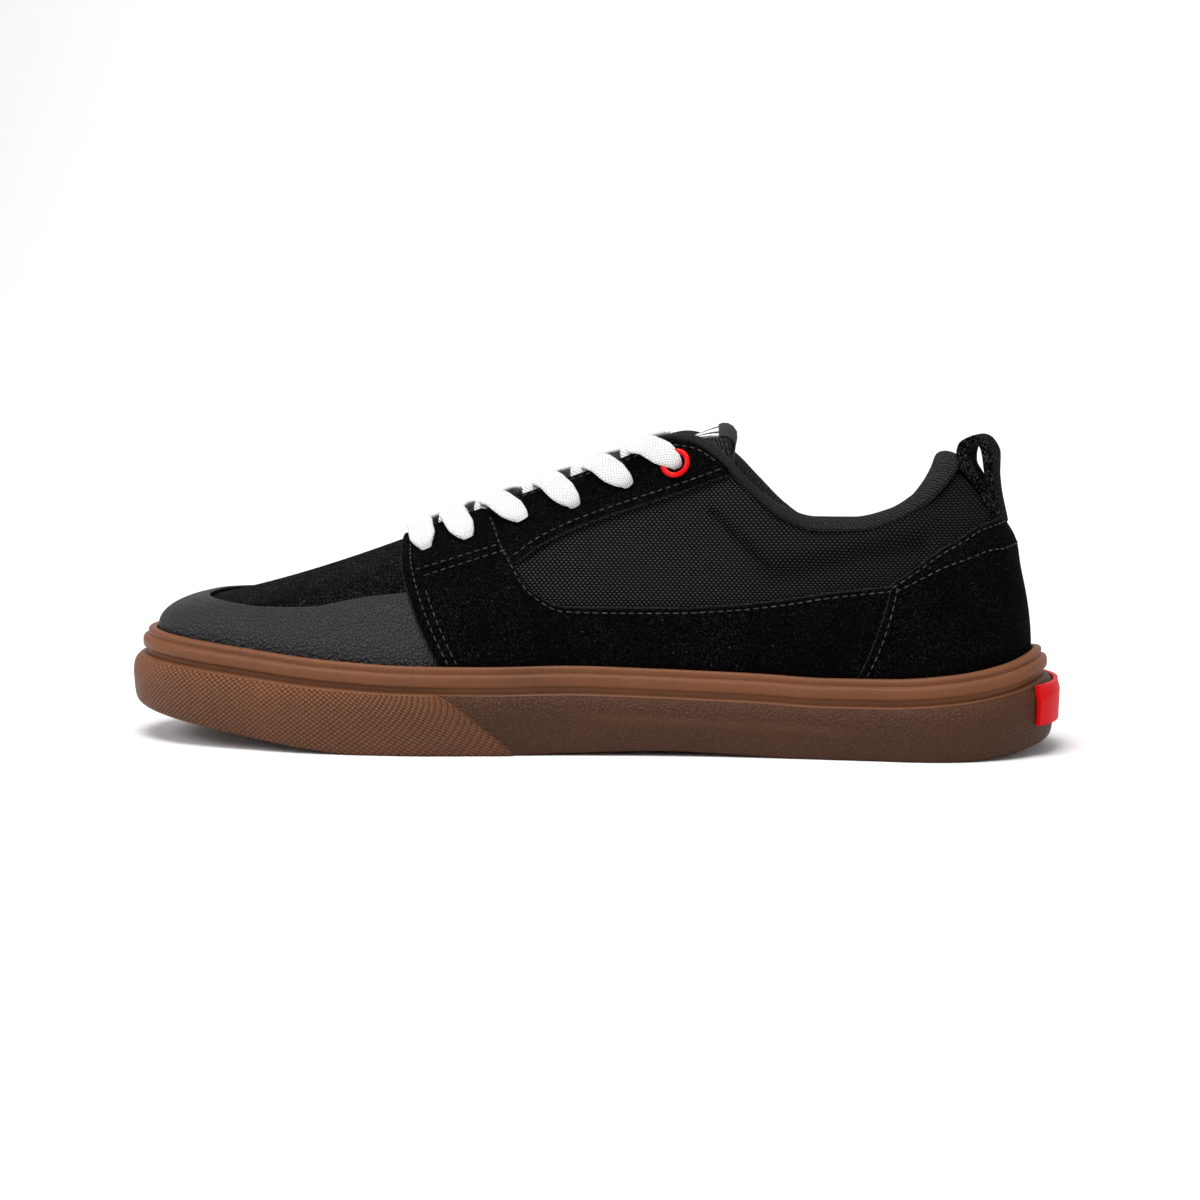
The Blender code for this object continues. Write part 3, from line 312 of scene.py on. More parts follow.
class Signal:
    """A socket of a material's node tree, with arithmetic."""

    def __init__(self, tree, socket):
        self.tree, self.socket = tree, socket

    def node(self, kind, settings, inputs, output=0):
        """Any other node, by its type, its settings, and the values or links of its sockets."""
        made = self.tree.nodes.new(kind)
        for key, setting in settings.items():
            setattr(made, key, setting)
        for key, value in inputs.items():
            if isinstance(value, Signal):
                self.tree.links.new(value.socket, made.inputs[key])
            else:
                made.inputs[key].default_value = value
        return Signal(self.tree, made.outputs[output])

    def maths(self, operation, first, second=0.0):
        return self.node("ShaderNodeMath", {"operation": operation}, {0: first, 1: second})

    def __add__(self, other):
        return self.maths("ADD", self, other)

    __radd__ = __add__

    def __mul__(self, other):
        return self.maths("MULTIPLY", self, other)

    __rmul__ = __mul__

    def __sub__(self, other):
        return self.maths("SUBTRACT", self, other)

    def __rsub__(self, other):
        return self.maths("SUBTRACT", other, self)

    def __truediv__(self, other):
        return self.maths("DIVIDE", self, other)

    def __pow__(self, other):
        return self.maths("POWER", self, other)

    def __abs__(self):
        return self.maths("ABSOLUTE", self)

    def noise(self, scale, detail=2.0, roughness=0.55):
        return self.node("ShaderNodeTexNoise", {}, {
            "Vector": self, "Scale": scale, "Detail": detail, "Roughness": roughness,
        })

    def cells(self, scale):
        return self.node("ShaderNodeTexVoronoi", {}, {"Vector": self, "Scale": scale})

    def between(self, low, high):
        """0 below low, 1 above high, and smooth between them."""
        sockets = {0: self, 1: low, 2: high}
        return self.node("ShaderNodeMapRange", {"interpolation_type": "SMOOTHSTEP"}, sockets)

    def wave(self):
        """0 to 1 and back for each unit, like a row of round threads."""
        return abs(self.maths("SINE", self * math.pi))

    def mix(self, first, second):
        """From the first colour to the second by this value."""
        return self.node("ShaderNodeMix", {"data_type": "RGBA"}, {0: self, 6: first, 7: second}, 2)


class Finish:
    """A principled material with the coordinates that its patterns follow."""

    def __init__(self, name, **constants):
        self.material = bpy.data.materials.new(name)
        self.material.use_nodes = True
        self.tree = self.material.node_tree
        self.shader = self.tree.nodes["Principled BSDF"]
        coordinates = self.tree.nodes.new("ShaderNodeTexCoord")
        self.place = Signal(self.tree, coordinates.outputs["Object"])
        self.x, _, self.z = self.parts(coordinates.outputs["Object"])
        self.along, self.up, _ = self.parts(coordinates.outputs["UV"])
        for key, value in constants.items():
            self.shader.inputs[key.replace("_", " ").title().replace("Ior", "IOR")].default_value = value

    def parts(self, socket):
        """The three numbers of a place, each as a signal."""
        split = self.tree.nodes.new("ShaderNodeSeparateXYZ")
        self.tree.links.new(socket, split.inputs[0])
        return [Signal(self.tree, output) for output in split.outputs]

    def feed(self, **signals):
        """Links what varies over the piece."""
        for key, signal in signals.items():
            self.tree.links.new(signal.socket, self.shader.inputs[key.replace("_", " ").title()])
        return self

    def bump(self, height, depth):
        """A relief this many millimetres deep where the height goes from 0 to 1."""
        return self.feed(normal=self.place.node("ShaderNodeBump", {}, {
            "Height": height, "Strength": 1.0, "Distance": depth * MM,
        }))


def colour(red, green, blue):
    return (red, green, blue, 1.0)


GUM_DARK, GUM_LIGHT = colour(0.036, 0.0130, 0.0052), colour(0.29, 0.106, 0.044)
GUM_DUST, DUST_SHARE = colour(0.30, 0.165, 0.10), 0.2
GUM_SPECULAR, GUM_ROUGH, GUM_ROUGH_RANGE = 0.2, 0.4, 0.2
WASH_SCALE, FINE_SCALE, PIT_SCALE, DUST_SCALE = 22.0, 900.0, 1300.0, 140.0
WASH_SHARE, FINE_SHARE, FINE_RELIEF = 0.25, 0.25, 0.15
PEBBLE_SHARE, PIT_SHARE, RIDGE_SHARE = 0.6, 0.6, 0.8
# A low mould ridge along the side wall, also lighter in tone as a painted highlight.
RIDGE_HEIGHT, RIDGE_SLOPE, RIDGE_WIDTH = 12.1, 0.041, 2.4
RIDGE_FRONT, RIDGE_BACK, RIDGE_FADE = -5.0, 72.0, 30.0
# Painted shade: between these heights the gum's tone falls off towards the floor.
PAINTED_SHADE_LOW, PAINTED_SHADE_HIGH, PAINTED_SHADE_LEAST, PAINTED_SHADE_RANGE = 2.0, 34.0, 0.65, 0.6
PEBBLE_PITCH, DIAMOND_LONG, DIAMOND_TALL = 0.9, 2.1, 1.5
# Each grain: its depth, and its share in the tone.
GUM_GRAINS = {"diamonds": (0.6, 0.75), "pebbles": (0.5, 0.45), "plain": (0.1, 0.5)}
# Each part's brightness, lit and shaded copies of one gum; the side wall is darkest as painted shade.
RIB_SHADE, SIDE_PAINTED_SHADE, BUMPER_SHADE = 0.53, 0.20, 0.64


def gum_finish(name, grain, tone_and_shade):
    """Gum rubber, smooth, diamond-grained or pebbled, with painted shade that darkens it towards the floor.
    """
    depth, strength = GUM_GRAINS[grain]
    finish = Finish(name, specular_ior_level=GUM_SPECULAR)
    wash = finish.place.noise(WASH_SCALE, 3.0, 0.6).between(0.25, 0.75)
    fine = finish.place.noise(FINE_SCALE)
    if grain == "diamonds":
        along, up = finish.along / (DIAMOND_LONG * MM), finish.up / (DIAMOND_TALL * MM)
        relief = ((along + up).wave() * (along - up).wave()) ** 0.5
    elif grain == "pebbles":
        pebbles = 1 - finish.place.cells(1 / (PEBBLE_PITCH * MM)).between(0.1, 0.8)
        # The mould ridge: a raised line, which through the tone is also a painted highlight.
        off_ridge = abs(finish.z + finish.x * RIDGE_SLOPE - RIDGE_HEIGHT * MM)
        front = finish.x.between(RIDGE_FRONT * MM, (RIDGE_FRONT + RIDGE_FADE) * MM)
        back = 1 - finish.x.between(RIDGE_BACK * MM, (RIDGE_BACK + RIDGE_FADE) * MM)
        ridge_and_highlight = (1 - off_ridge.between(0.0, RIDGE_WIDTH * MM)) * front * back
        pits = finish.place.noise(PIT_SCALE, 3.0)
        relief = pebbles * PEBBLE_SHARE + pits * PIT_SHARE + ridge_and_highlight * RIDGE_SHARE
    else:
        relief = fine * 0.2 + 0.7
    # Painted shade: the tone is darker low down, as if less light reached there.
    high = finish.z.between(PAINTED_SHADE_LOW * MM, PAINTED_SHADE_HIGH * MM) * PAINTED_SHADE_RANGE + PAINTED_SHADE_LEAST
    tone = (wash * WASH_SHARE + relief * strength + fine * FINE_SHARE).between(0.0, 1.0) * tone_and_shade * high
    dust = finish.place.noise(DUST_SCALE, 5.0, 0.7).between(0.62, 0.85) * DUST_SHARE
    base = dust.mix(tone.mix(GUM_DARK, GUM_LIGHT), GUM_DUST)
    finish.feed(base_color=base, roughness=wash * GUM_ROUGH_RANGE + GUM_ROUGH)
    finish.bump(relief + fine * FINE_RELIEF, depth)
    return finish.material


edge_turns = turn_at([BUMPER_EDGE_TOP_X, BUMPER_EDGE_TOP_X - BUMPER_EDGE_WIDTH])
half_turns = np.sort(np.concatenate([np.linspace(0, math.pi, SOLE_COLUMN_COUNT // 2), edge_turns]))
sole_turns = np.concatenate([half_turns, 2 * math.pi - half_turns[-2::-1]])
rings = np.array([sole_ring(row, sole_turns) for row in range(len(SOLE_ROWS))])
side_rings = rounded_corners(rings, column(SOLE_COLUMNS, SOLE_ROWS, "round"))
foot = side_rings[-1]
spine_far = np.linalg.norm(foot - to_spine(foot, 1.0, 0.0), axis=-1)
rim_share = np.minimum(TREAD_RIM / spine_far, 0.9)
step_share = np.minimum((TREAD_RIM + TREAD_STEP) / spine_far, 0.93)
under_rings = [
    to_spine(foot, rim_share, 0.0),
    to_spine(foot, step_share, TREAD_DEPTH),
    to_spine(foot, 0.97, TREAD_DEPTH),
    to_spine(foot, 1.0, TREAD_DEPTH),
]
cup_rings = [to_spine(side_rings[0], 1.0, 0.0), to_spine(side_rings[0], 0.5, 0.0)]
sole_points = np.concatenate([cup_rings, side_rings, under_rings])
for turned in (sole_points[-1], sole_points[-2]):
    turned[:, 2] = TREAD(turned[:, 0]) + TREAD_DEPTH

low, high = (np.array(corner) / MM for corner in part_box("outsole"))
SHIFT = (low + high) / 2 - (rings.reshape(-1, 3).min(0) + rings.reshape(-1, 3).max(0)) / 2
SHIFT[2] = 0.0

around = lengths_along(side_rings[-BELT_RINGS_UP][None], 1)[0]
sole_uv = np.stack([np.broadcast_to(around, sole_points.shape[:2]), sole_points[..., 2]], -1)
# The same gum three times, made lighter or darker for each part as painted light and shade.
gum_rib = gum_finish("gum_rib", "plain", RIB_SHADE)
gum_side = gum_finish("gum_side", "pebbles", SIDE_PAINTED_SHADE)
gum_bumper = gum_finish("gum_bumper", "diamonds", BUMPER_SHADE)
outsole = shaped_grid("sole_cup", sole_points, (gum_rib, gum_side, gum_bumper), sole_uv)
first_side = len(cup_rings) + (CORNER_STEPS + 1) * BUMPER_FIRST_ROW
last_side = len(cup_rings) + len(side_rings) - 2
flat_x = base_x_at(sole_turns)
is_bumper = (flat_x[1:] + flat_x[:-1]) / 2 < BUMPER_EDGE_TOP_X
face_rows = np.arange(sole_points.shape[0] - 1)
on_wall = (face_rows >= first_side) & (face_rows <= last_side)
face_finish = np.where(on_wall[:, None], np.where(is_bumper[None, :], 2, 1), 0)
outsole.data.polygons.foreach_set("material_index", face_finish.ravel().astype(np.int32))
settle(weld(outsole), "gum_rubber", "outsole")


# Tread
# Low hexagonal lugs moulded in rows over the underside, inside a plain rim, that grip the pins of a pedal.
# They are the same gum rubber as the sole, in one piece with it.
LUG_RADIUS, LUG_PITCH, LUG_ROOT, LUG_CLEAR, LUG_MARGIN = 3.7, 8.6, 0.4, 0.05, 1.0
LUG_BEVEL, LUG_ROW_REACH, LUG_PLACE_REACH = 0.08, 20, 8


def copies(name, body, middles, axes, finish):
    """One mesh of many copies of a small body, each with its own middle and axes, in millimetres."""
    corners = np.array([vertex.co for vertex in body.data.vertices])
    faces = [tuple(face.vertices) for face in body.data.polygons]
    points = middles[:, None] + np.einsum("vk,ckj->cvj", corners, axes)
    mesh = bpy.data.meshes.new(name)
    all_faces = [tuple(v + c * len(corners) for v in face) for c in range(len(middles)) for face in faces]
    mesh.from_pydata(((points.reshape(-1, 3) + SHIFT) * MM).tolist(), [], all_faces)
    mesh.materials.append(finish)
    mesh.shade_smooth()
    piece = bpy.data.objects.new(name, mesh)
    bpy.context.scene.collection.objects.link(piece)
    return piece


bpy.ops.object.select_all(action="DESELECT")
bpy.ops.mesh.primitive_cylinder_add(vertices=6, radius=1.0, depth=1.0, location=(0, 0, 0))
lug = bpy.context.object
lug_bevel = lug.modifiers.new("bevel", "BEVEL")
lug_bevel.width = LUG_BEVEL
bpy.ops.object.modifier_apply(modifier=lug_bevel.name)
lug_places = np.array([
    (row * LUG_PITCH * math.sqrt(3) / 2, (place + row % 2 / 2) * LUG_PITCH)
    for row in range(-LUG_ROW_REACH, LUG_ROW_REACH + 1)
    for place in range(-LUG_PLACE_REACH, LUG_PLACE_REACH + 1)
])
to_edge = np.linalg.norm(lug_places[:, None] - foot[None, :, :2], axis=-1).min(1)
lug_centre = LAST["centre"](lug_places[:, 0])
sole_half = np.abs(outline(turn_at(lug_places[:, 0]))[1] - lug_centre)
inside = np.abs(lug_places[:, 1] - lug_centre) < sole_half
lug_places = lug_places[inside & (to_edge > TREAD_RIM + LUG_RADIUS + LUG_MARGIN)]
lug_slope = (TREAD(lug_places[:, 0] + 1) - TREAD(lug_places[:, 0] - 1)) / 2
lug_tall = TREAD_DEPTH + LUG_ROOT
lug_middles = np.column_stack([lug_places, TREAD(lug_places[:, 0]) + LUG_CLEAR + lug_tall / 2])
ones, zeros = np.ones_like(lug_slope), np.zeros_like(lug_slope)
lug_axes = np.stack([
    np.stack([ones, zeros, lug_slope], -1) * LUG_RADIUS,
    np.stack([zeros, ones, zeros], -1) * LUG_RADIUS,
    np.stack([-lug_slope, zeros, ones], -1) * lug_tall,
], 1)
lugs = copies("tread_lugs", lug, lug_middles, lug_axes, gum_rib)
bpy.data.objects.remove(lug)
settle(lugs, "gum_rubber")


# Insole
# A thin foam bed under a knitted cloth, cut to the shape of the cup and laid loose in it. Its edges are
# rounded, and nothing but its fit holds it.
INSOLE_THICKNESS, INSOLE_OFFSET, INSOLE_COLUMN_COUNT = 4.0, -4.75, 180
INSOLE_ROUNDS = (0, 0.5, 1.2, 0)
CLOTH_DARK, CLOTH = colour(0.008, 0.008, 0.009), colour(0.035, 0.035, 0.037)
CLOTH_SCALE, CLOTH_DEPTH = 1400.0, 0.15

cloth = Finish("insole_cloth", roughness=0.95)
cloth_grain = cloth.place.noise(CLOTH_SCALE, 3.0)
cloth.feed(base_color=cloth_grain.mix(CLOTH_DARK, CLOTH)).bump(cloth_grain, CLOTH_DEPTH)
insole_turns = np.linspace(0, 2 * math.pi, INSOLE_COLUMN_COUNT + 1)
insole_x, insole_y = (
    edge + normal * INSOLE_OFFSET
    for edge, normal in zip(outline(insole_turns), outline_normal(insole_turns))
)
insole_low = LAST["floor_height"](base_x_at(insole_turns)) + GAP
insole_foot = np.stack([insole_x, insole_y, insole_low], -1)
insole_top = insole_foot + np.array([0, 0, INSOLE_THICKNESS])
insole_edge = rounded_corners(np.array([
    to_spine(insole_foot, 1.0, 0.0), insole_foot, insole_top, to_spine(insole_top, 1.0, 0.0),
]), INSOLE_ROUNDS)
insole = weld(shaped_grid("foot_bed", insole_edge, (cloth.material,)))
settle(insole, "insole_cloth", "insole")


# Upper
# The shell that the other panels are sewn to: black suede over the front of the foot, coarse woven nylon
# over the sides, and a smooth cloth lining. Foam pads the nylon under the collar, down to a sewn crease.
OVERLAY, OVERLAY_GAP, WALL = 1.2, 0.55, 2.0
BASE_OFFSET = -(OVERLAY + OVERLAY_GAP)
LINING_OFFSET = BASE_OFFSET - WALL
RIM_COLUMNS = ("x", "half_width", "inner_height", "outer_height")
RIM_ROWS = (
    (-62.5, 8.0, 65.2, 65.2),
    (-54.0, 8.5, 68.0, 68.0),
    (-36.0, 10.5, 74.2, 74.2),
    (-12.0, 13.0, 82.8, 82.8),
    (12.0, 15.5, 91.6, 91.4),
    (29.0, 18.0, 97.8, 97.2),
    (36.0, 20.0, 97.0, 95.6),
    (44.0, 23.5, 93.0, 89.4),
    (52.0, 26.5, 85.8, 80.8),
    (60.0, 28.3, 78.4, 72.6),
    (68.0, 29.3, 73.2, 67.0),
    (78.0, 29.4, 70.2, 64.2),
    (90.0, 29.0, 70.4, 65.4),
    (102.0, 28.5, 73.7, 71.2),
    (111.0, 28.5, 79.4, 78.4),
    (116.0, 28.5, 84.4, 83.9),
    (120.0, 28.5, 90.2, 90.2),
)
RIM = curves_of(RIM_COLUMNS, RIM_ROWS)
RIM_FRONT_X, RIM_BACK_X = RIM_ROWS[0][0], RIM_ROWS[-1][0]
RIM_X_TO_BASE_X = curve_through(*(column(LAST_COLUMNS, LAST_ROWS, name) for name in ("rim_x", "x")))
THROAT_ROUND_RUN, COLLAR_ROUND_RUN, END_POWER = 8.0, 30.0, 2.0
# The lines of the padding, as x and height seen from the side.
PAD_CREASE = ((43.6, 75.7), (50.4, 69.7), (57.4, 63.5), (65.4, 56.6))
PAD_VALLEY = ((65.4, 56.6), (72.4, 57.9), (87.1, 61.5), (108.4, 65.9))
CREASE_DEPTH, CREASE_WIDTH = 2.3, 1.3
VALLEY_DEPTH, VALLEY_WIDTH = 2.4, 3.6
PAD_PUFF, PAD_PUFF_WIDTH = 2.4, 7.0
PAD_MIDDLE = ((52.0, 77.0), (62.0, 68.0), (74.0, 64.2), (90.0, 66.4), (106.0, 72.5))
PAD_FADE = 4.0
VAMP_BACK_X = -30.0
UPPER_COLUMN_COUNT, UPPER_ROW_COUNT, UPPER_SPACING, CUP_MIDDLE = 420, 64, 0.75, 0.4


def rim(turn):
    x = LAST["rim_x"](base_x_at(turn))
    side = side_of(turn)
    front = end_round(x - RIM_FRONT_X, THROAT_ROUND_RUN, END_POWER)
    back = end_round(RIM_BACK_X - x, COLLAR_ROUND_RUN, END_POWER)
    height = np.where(side < 0, RIM["inner_height"](x), RIM["outer_height"](x))
    return x, side * RIM["half_width"](x) * front * back, height


def rise_of(base_x, t):
    """How far along and how far up a rib is at t, as shares."""
    run = np.clip(t, 0, 1) ** 2
    reach, roundness = LAST["wall_run"](base_x), LAST["roundness"](base_x)
    wall = end_round(run, reach, roundness) / end_round(1.0, reach, roundness)
    share = LAST["wall_share"](base_x)
    return run, share * wall + (1 - share) * run ** LAST["roof_power"](base_x)


def skin(turn, t):
    """The outermost surface of the upper, from the sole's lip at t = 0 to the rim at t = 1."""
    turn, t = np.broadcast_arrays(np.asarray(turn, float), np.asarray(t, float))
    x0, y0 = outline(turn)
    x1, y1, high = rim(turn)
    base_x = base_x_at(turn)
    low = LAST["lip_height"](base_x)
    run, rise = rise_of(base_x, t)
    out_x, out_y = outline_normal(turn)
    swell = LAST["bulge"](base_x) * np.sin(math.pi * rise)
    x = x0 + (x1 - x0) * run + out_x * swell
    y = y0 + (y1 - y0) * run + out_y * swell
    return np.stack([x, y, low + (high - low) * rise], -1)


def unit(vectors):
    return vectors / np.linalg.norm(vectors, axis=-1, keepdims=True)


def skin_normal(turn, t):
    small = 2e-3
    t = np.clip(np.asarray(t, float), small, 1 - small)
    along = skin(turn + small, t) - skin(turn - small, t)
    up = skin(turn, t + small) - skin(turn, t - small)
    return unit(np.cross(along, up))


def shell(turn, t, off):
    """A point off the skin. Below t = 0 the wall drops straight into the sole, by t millimetres."""
    turn, t, off = np.broadcast_arrays(*(np.asarray(v, float) for v in (turn, t, off)))
    normal = skin_normal(turn, t)
    out_x, out_y = outline_normal(turn)
    straight = np.stack([out_x, out_y, np.zeros_like(out_x)], -1)
    normal = np.where(t[..., None] <= 0, straight, normal)
    point = skin(turn, np.maximum(t, 0)) + normal * off[..., None]
    point[..., 2] += np.minimum(t, 0)
    return point


def line_distance(points, line):
    """How far points in side view are from a line drawn through a table's rows."""
    x, height = (curve_through(range(len(line)), values) for values in zip(*line))
    dense = np.linspace(0, len(line) - 1, 12 * len(line))
    places = np.stack([x(dense), height(dense)], -1)
    return np.linalg.norm(points[..., None, :] - places, axis=-1).min(-1)


def hump(distance, width):
    """1 on a line, falling softly to 0 at about twice the width from it."""
    return np.exp(-((distance / width) ** 2))


def padding(points):
    """How far the padded nylon stands out from or sinks into the wall, from its place in side view."""
    seen = points[..., (0, 2)]
    puff = PAD_PUFF * hump(line_distance(seen, PAD_MIDDLE), PAD_PUFF_WIDTH)
    crease = CREASE_DEPTH * hump(line_distance(seen, PAD_CREASE), CREASE_WIDTH)
    valley = VALLEY_DEPTH * hump(line_distance(seen, PAD_VALLEY), VALLEY_WIDTH)
    return puff - np.maximum(crease, valley)


def thicken(piece, outward, thickness, inner_finish=0):
    """Turns a sheet's faces to the given side and gives it a thickness towards the other."""
    mesh = piece.data
    normals = np.empty(len(mesh.polygons) * 3)
    mesh.polygons.foreach_get("normal", normals)
    if (normals.reshape(-1, 3) * outward).sum() < 0:
        mesh.flip_normals()
    solid = piece.modifiers.new("thickness", "SOLIDIFY")
    solid.thickness = thickness * MM
    solid.offset = -1.0
    solid.material_offset = inner_finish
    take(piece)
    bpy.ops.object.modifier_apply(modifier=solid.name)
    return piece


def cell_normals(points):
    """The direction of each cell of a grid, across its rows and columns."""
    along = points[:-1, 1:] - points[:-1, :-1]
    up = points[1:, :-1] - points[:-1, :-1]
    return np.cross(along, up).reshape(-1, 3)


SUEDE_DARK, SUEDE = colour(0.0006, 0.0006, 0.0006), colour(0.060, 0.058, 0.058)
SUEDE_LINT, SUEDE_CUT_AND_HIGHLIGHT = colour(0.06, 0.06, 0.06), colour(0.026, 0.026, 0.026)
NAP_SCALE, BRUSH_SCALE, LINT_SCALE, TUFT_SCALE = 2000.0, 70.0, 900.0, 700.0
NAP_DEPTH, TUFT_SHARE, BRUSH_SHARE = 0.28, 0.6, 0.6
# The vamp's suede is a brighter copy of the panels' suede, as painted light on the top of the toe.
PANEL_BRIGHTNESS, VAMP_LIT_BRIGHTNESS = 0.36, 1.2
NYLON_DARK, NYLON = colour(0.0006, 0.0006, 0.0007), colour(0.066, 0.064, 0.065)
NYLON_LONG, NYLON_TALL, NYLON_DEPTH = 1.45, 0.8, 0.4
NYLON_FRONT, NYLON_BACK, NYLON_HEEL_SHADE = 45.0, 100.0, 0.5
NYLON_GRAIN_SCALE, LINING_SCALE, LINING_DEPTH = 2500.0, 1800.0, 0.1


def suede_finish(name, brightness, cut_edge_and_highlight=False):
    """Black suede with a short nap, some lint, and a paler cut edge that is partly painted highlight."""
    finish = Finish(name, roughness=0.95, specular_ior_level=0.02)
    nap = finish.place.noise(NAP_SCALE, 2.0, 0.7)
    brushed = finish.place.noise(BRUSH_SCALE, 3.0).between(0.25, 0.75)
    tone = nap.between(0.48, 0.78) * (brushed * BRUSH_SHARE + (1 - BRUSH_SHARE)) * brightness
    lint = finish.place.noise(LINT_SCALE, 1.0).between(0.73, 0.82) * brushed
    base = lint.mix(tone.mix(SUEDE_DARK, SUEDE), SUEDE_LINT)
    if cut_edge_and_highlight:
        # A paler line along free edges: partly the raw cut edge, partly a painted highlight on its rounding.
        to_edge = finish.place.node("ShaderNodeAttribute", {"attribute_name": "edge"}, {}, "Fac")
        base = ((1 - to_edge.between(0.2, 0.9)) * nap.between(0.35, 0.65)).mix(base, SUEDE_CUT_AND_HIGHLIGHT)
    finish.feed(base_color=base)
    finish.bump(nap + finish.place.noise(TUFT_SCALE, 3.0) * TUFT_SHARE, NAP_DEPTH)
    return finish.material


def nylon_finish(name):
    """Coarse nylon, as rows of beads each set over by half a bead, with painted shade towards the heel."""
    finish = Finish(name, roughness=0.7, specular_ior_level=0.08)
    across, rise = finish.along / (NYLON_LONG * MM), finish.up / (NYLON_TALL * MM)
    row = rise.maths("FLOOR", rise)
    beads = (across + row * 0.5).wave() * rise.wave()
    grain = finish.place.noise(NYLON_GRAIN_SCALE)
    # Painted shade: the nylon is darkened towards the heel.
    heel = 1 - finish.x.between(NYLON_FRONT * MM, NYLON_BACK * MM) * NYLON_HEEL_SHADE
    tone = beads.between(0.5, 1.0) * (grain * 0.8 + 0.4) * heel
    finish.feed(base_color=tone.mix(NYLON_DARK, NYLON))
    finish.bump(beads ** 0.6 + grain * 0.15, NYLON_DEPTH)
    return finish.material


def lining_finish(name):
    finish = Finish(name, roughness=0.95, specular_ior_level=0.1)
    weave = finish.place.noise(LINING_SCALE)
    finish.feed(base_color=weave.mix(CLOTH_DARK, CLOTH)).bump(weave, LINING_DEPTH)
    return finish.material


suede = suede_finish("black_suede", PANEL_BRIGHTNESS, True)
# A lit copy of the black suede for the vamp: its extra brightness is painted light.
vamp_suede = suede_finish("vamp_suede", VAMP_LIT_BRIGHTNESS)
nylon = nylon_finish("black_nylon")
lining = lining_finish("cloth_lining")
upper_turns = np.linspace(0, 2 * math.pi, UPPER_COLUMN_COUNT + 1)
upper_base_x = base_x_at(upper_turns)
cup_depth = LAST["floor_height"](upper_base_x) + GAP - LAST["lip_height"](upper_base_x)
wall_t = np.linspace(0, 1, UPPER_ROW_COUNT)[:, None] ** UPPER_SPACING * np.ones(len(upper_turns))
upper_t = np.concatenate([cup_depth[None], cup_depth[None] * CUP_MIDDLE, wall_t])
upper_flat = shell(upper_turns, upper_t, BASE_OFFSET)
upper_pad = padding(upper_flat) * np.clip(upper_t * PAD_FADE, 0, 1)
upper_points = shell(upper_turns, upper_t, BASE_OFFSET + upper_pad)
upper_uv = np.stack([upper_flat[..., 0], upper_flat[..., 2]], -1)
upper = shaped_grid("shoe_upper", upper_points, (vamp_suede, nylon, lining), upper_uv)
middles = (upper_points[1:, 1:] + upper_points[:-1, :-1]) / 2
nylon_faces = (middles[..., 0] > VAMP_BACK_X).astype(np.int32)
upper.data.polygons.foreach_set("material_index", nylon_faces.ravel())
thicken(upper, cell_normals(upper_points), WALL, 2)
settle(weld(upper), "black_canvas", "upper")


# Toe cap
# One grained leather panel wrapped round the toe, glued on the suede, with its cut edge along the vamp. Its
# foot goes down into the cup of the sole, and its rear ends lie under the quarters.
OVERLAY_FOOT = 4.4
# The top edge of the cap, as x and height seen from the side.
TOE_CAP_ROWS = (
    (-119.8, 46.8), (-108.5, 45.2), (-101.3, 44.7), (-91.3, 44.9), (-81.5, 45.5), (-69.2, 47.9),
    (-48.5, 51.7),
)
TOE_CAP_BACK_FOOT_X, TOE_CAP_SLANT_RUN = -35.0, 0.5
TOE_CAP_COLUMN_COUNT, TOE_CAP_LONG, TOE_CAP_ROW_COUNT, TOE_CAP_TALL = 150, 250.0, 24, 16.0
UNDER_SINK, UNDER_RUN, UNDER_REACH = 1.0, 9.0, 1.6
EDGE_ROUND, EDGE_WIDTH, EDGE_SHARES = 0.55, 0.9, (0.0, 0.3, 0.6, 1.0)
SEARCH_STEPS = 20
GRAIN_DARK, GRAIN_LIGHT = colour(0.006, 0.006, 0.0063), colour(0.036, 0.0355, 0.037)
TOE_GRAIN_PITCH, TOE_GRAIN_DEPTH, TOE_FINE_SCALE = 1.0, 0.6, 1700.0


def place_on_rib(base_x, height, side):
    """(turn, t) of the points at these heights on the ribs that start at these x."""
    base_x, height = np.broadcast_arrays(np.asarray(base_x, float), np.asarray(height, float))
    turn = on_side(turn_at(base_x), side)
    lip, top = LAST["lip_height"](base_x), rim(turn)[2]
    wanted = (height - lip) / (top - lip)
    below, above = np.zeros_like(base_x), np.ones_like(base_x)
    for _ in range(SEARCH_STEPS):
        t = (below + above) / 2
        under = rise_of(base_x, t)[1] < wanted
        below, above = np.where(under, t, below), np.where(under, above, t)
    return turn, (below + above) / 2


def place_on_side(x, height, side):
    """(turn, t) of the points of the skin seen at these x and heights from one side of the shoe."""
    x, height = np.broadcast_arrays(np.asarray(x, float), np.asarray(height, float))
    low_x, high_x = np.full(x.shape, TOE_X), np.full(x.shape, HEEL_X)
    for _ in range(SEARCH_STEPS):
        base_x = (low_x + high_x) / 2
        turn, t = place_on_rib(base_x, height, side)
        short = skin(turn, t)[..., 0] < x
        low_x, high_x = np.where(short, base_x, low_x), np.where(short, high_x, base_x)
    return turn, t


PANEL_PLACES = {}


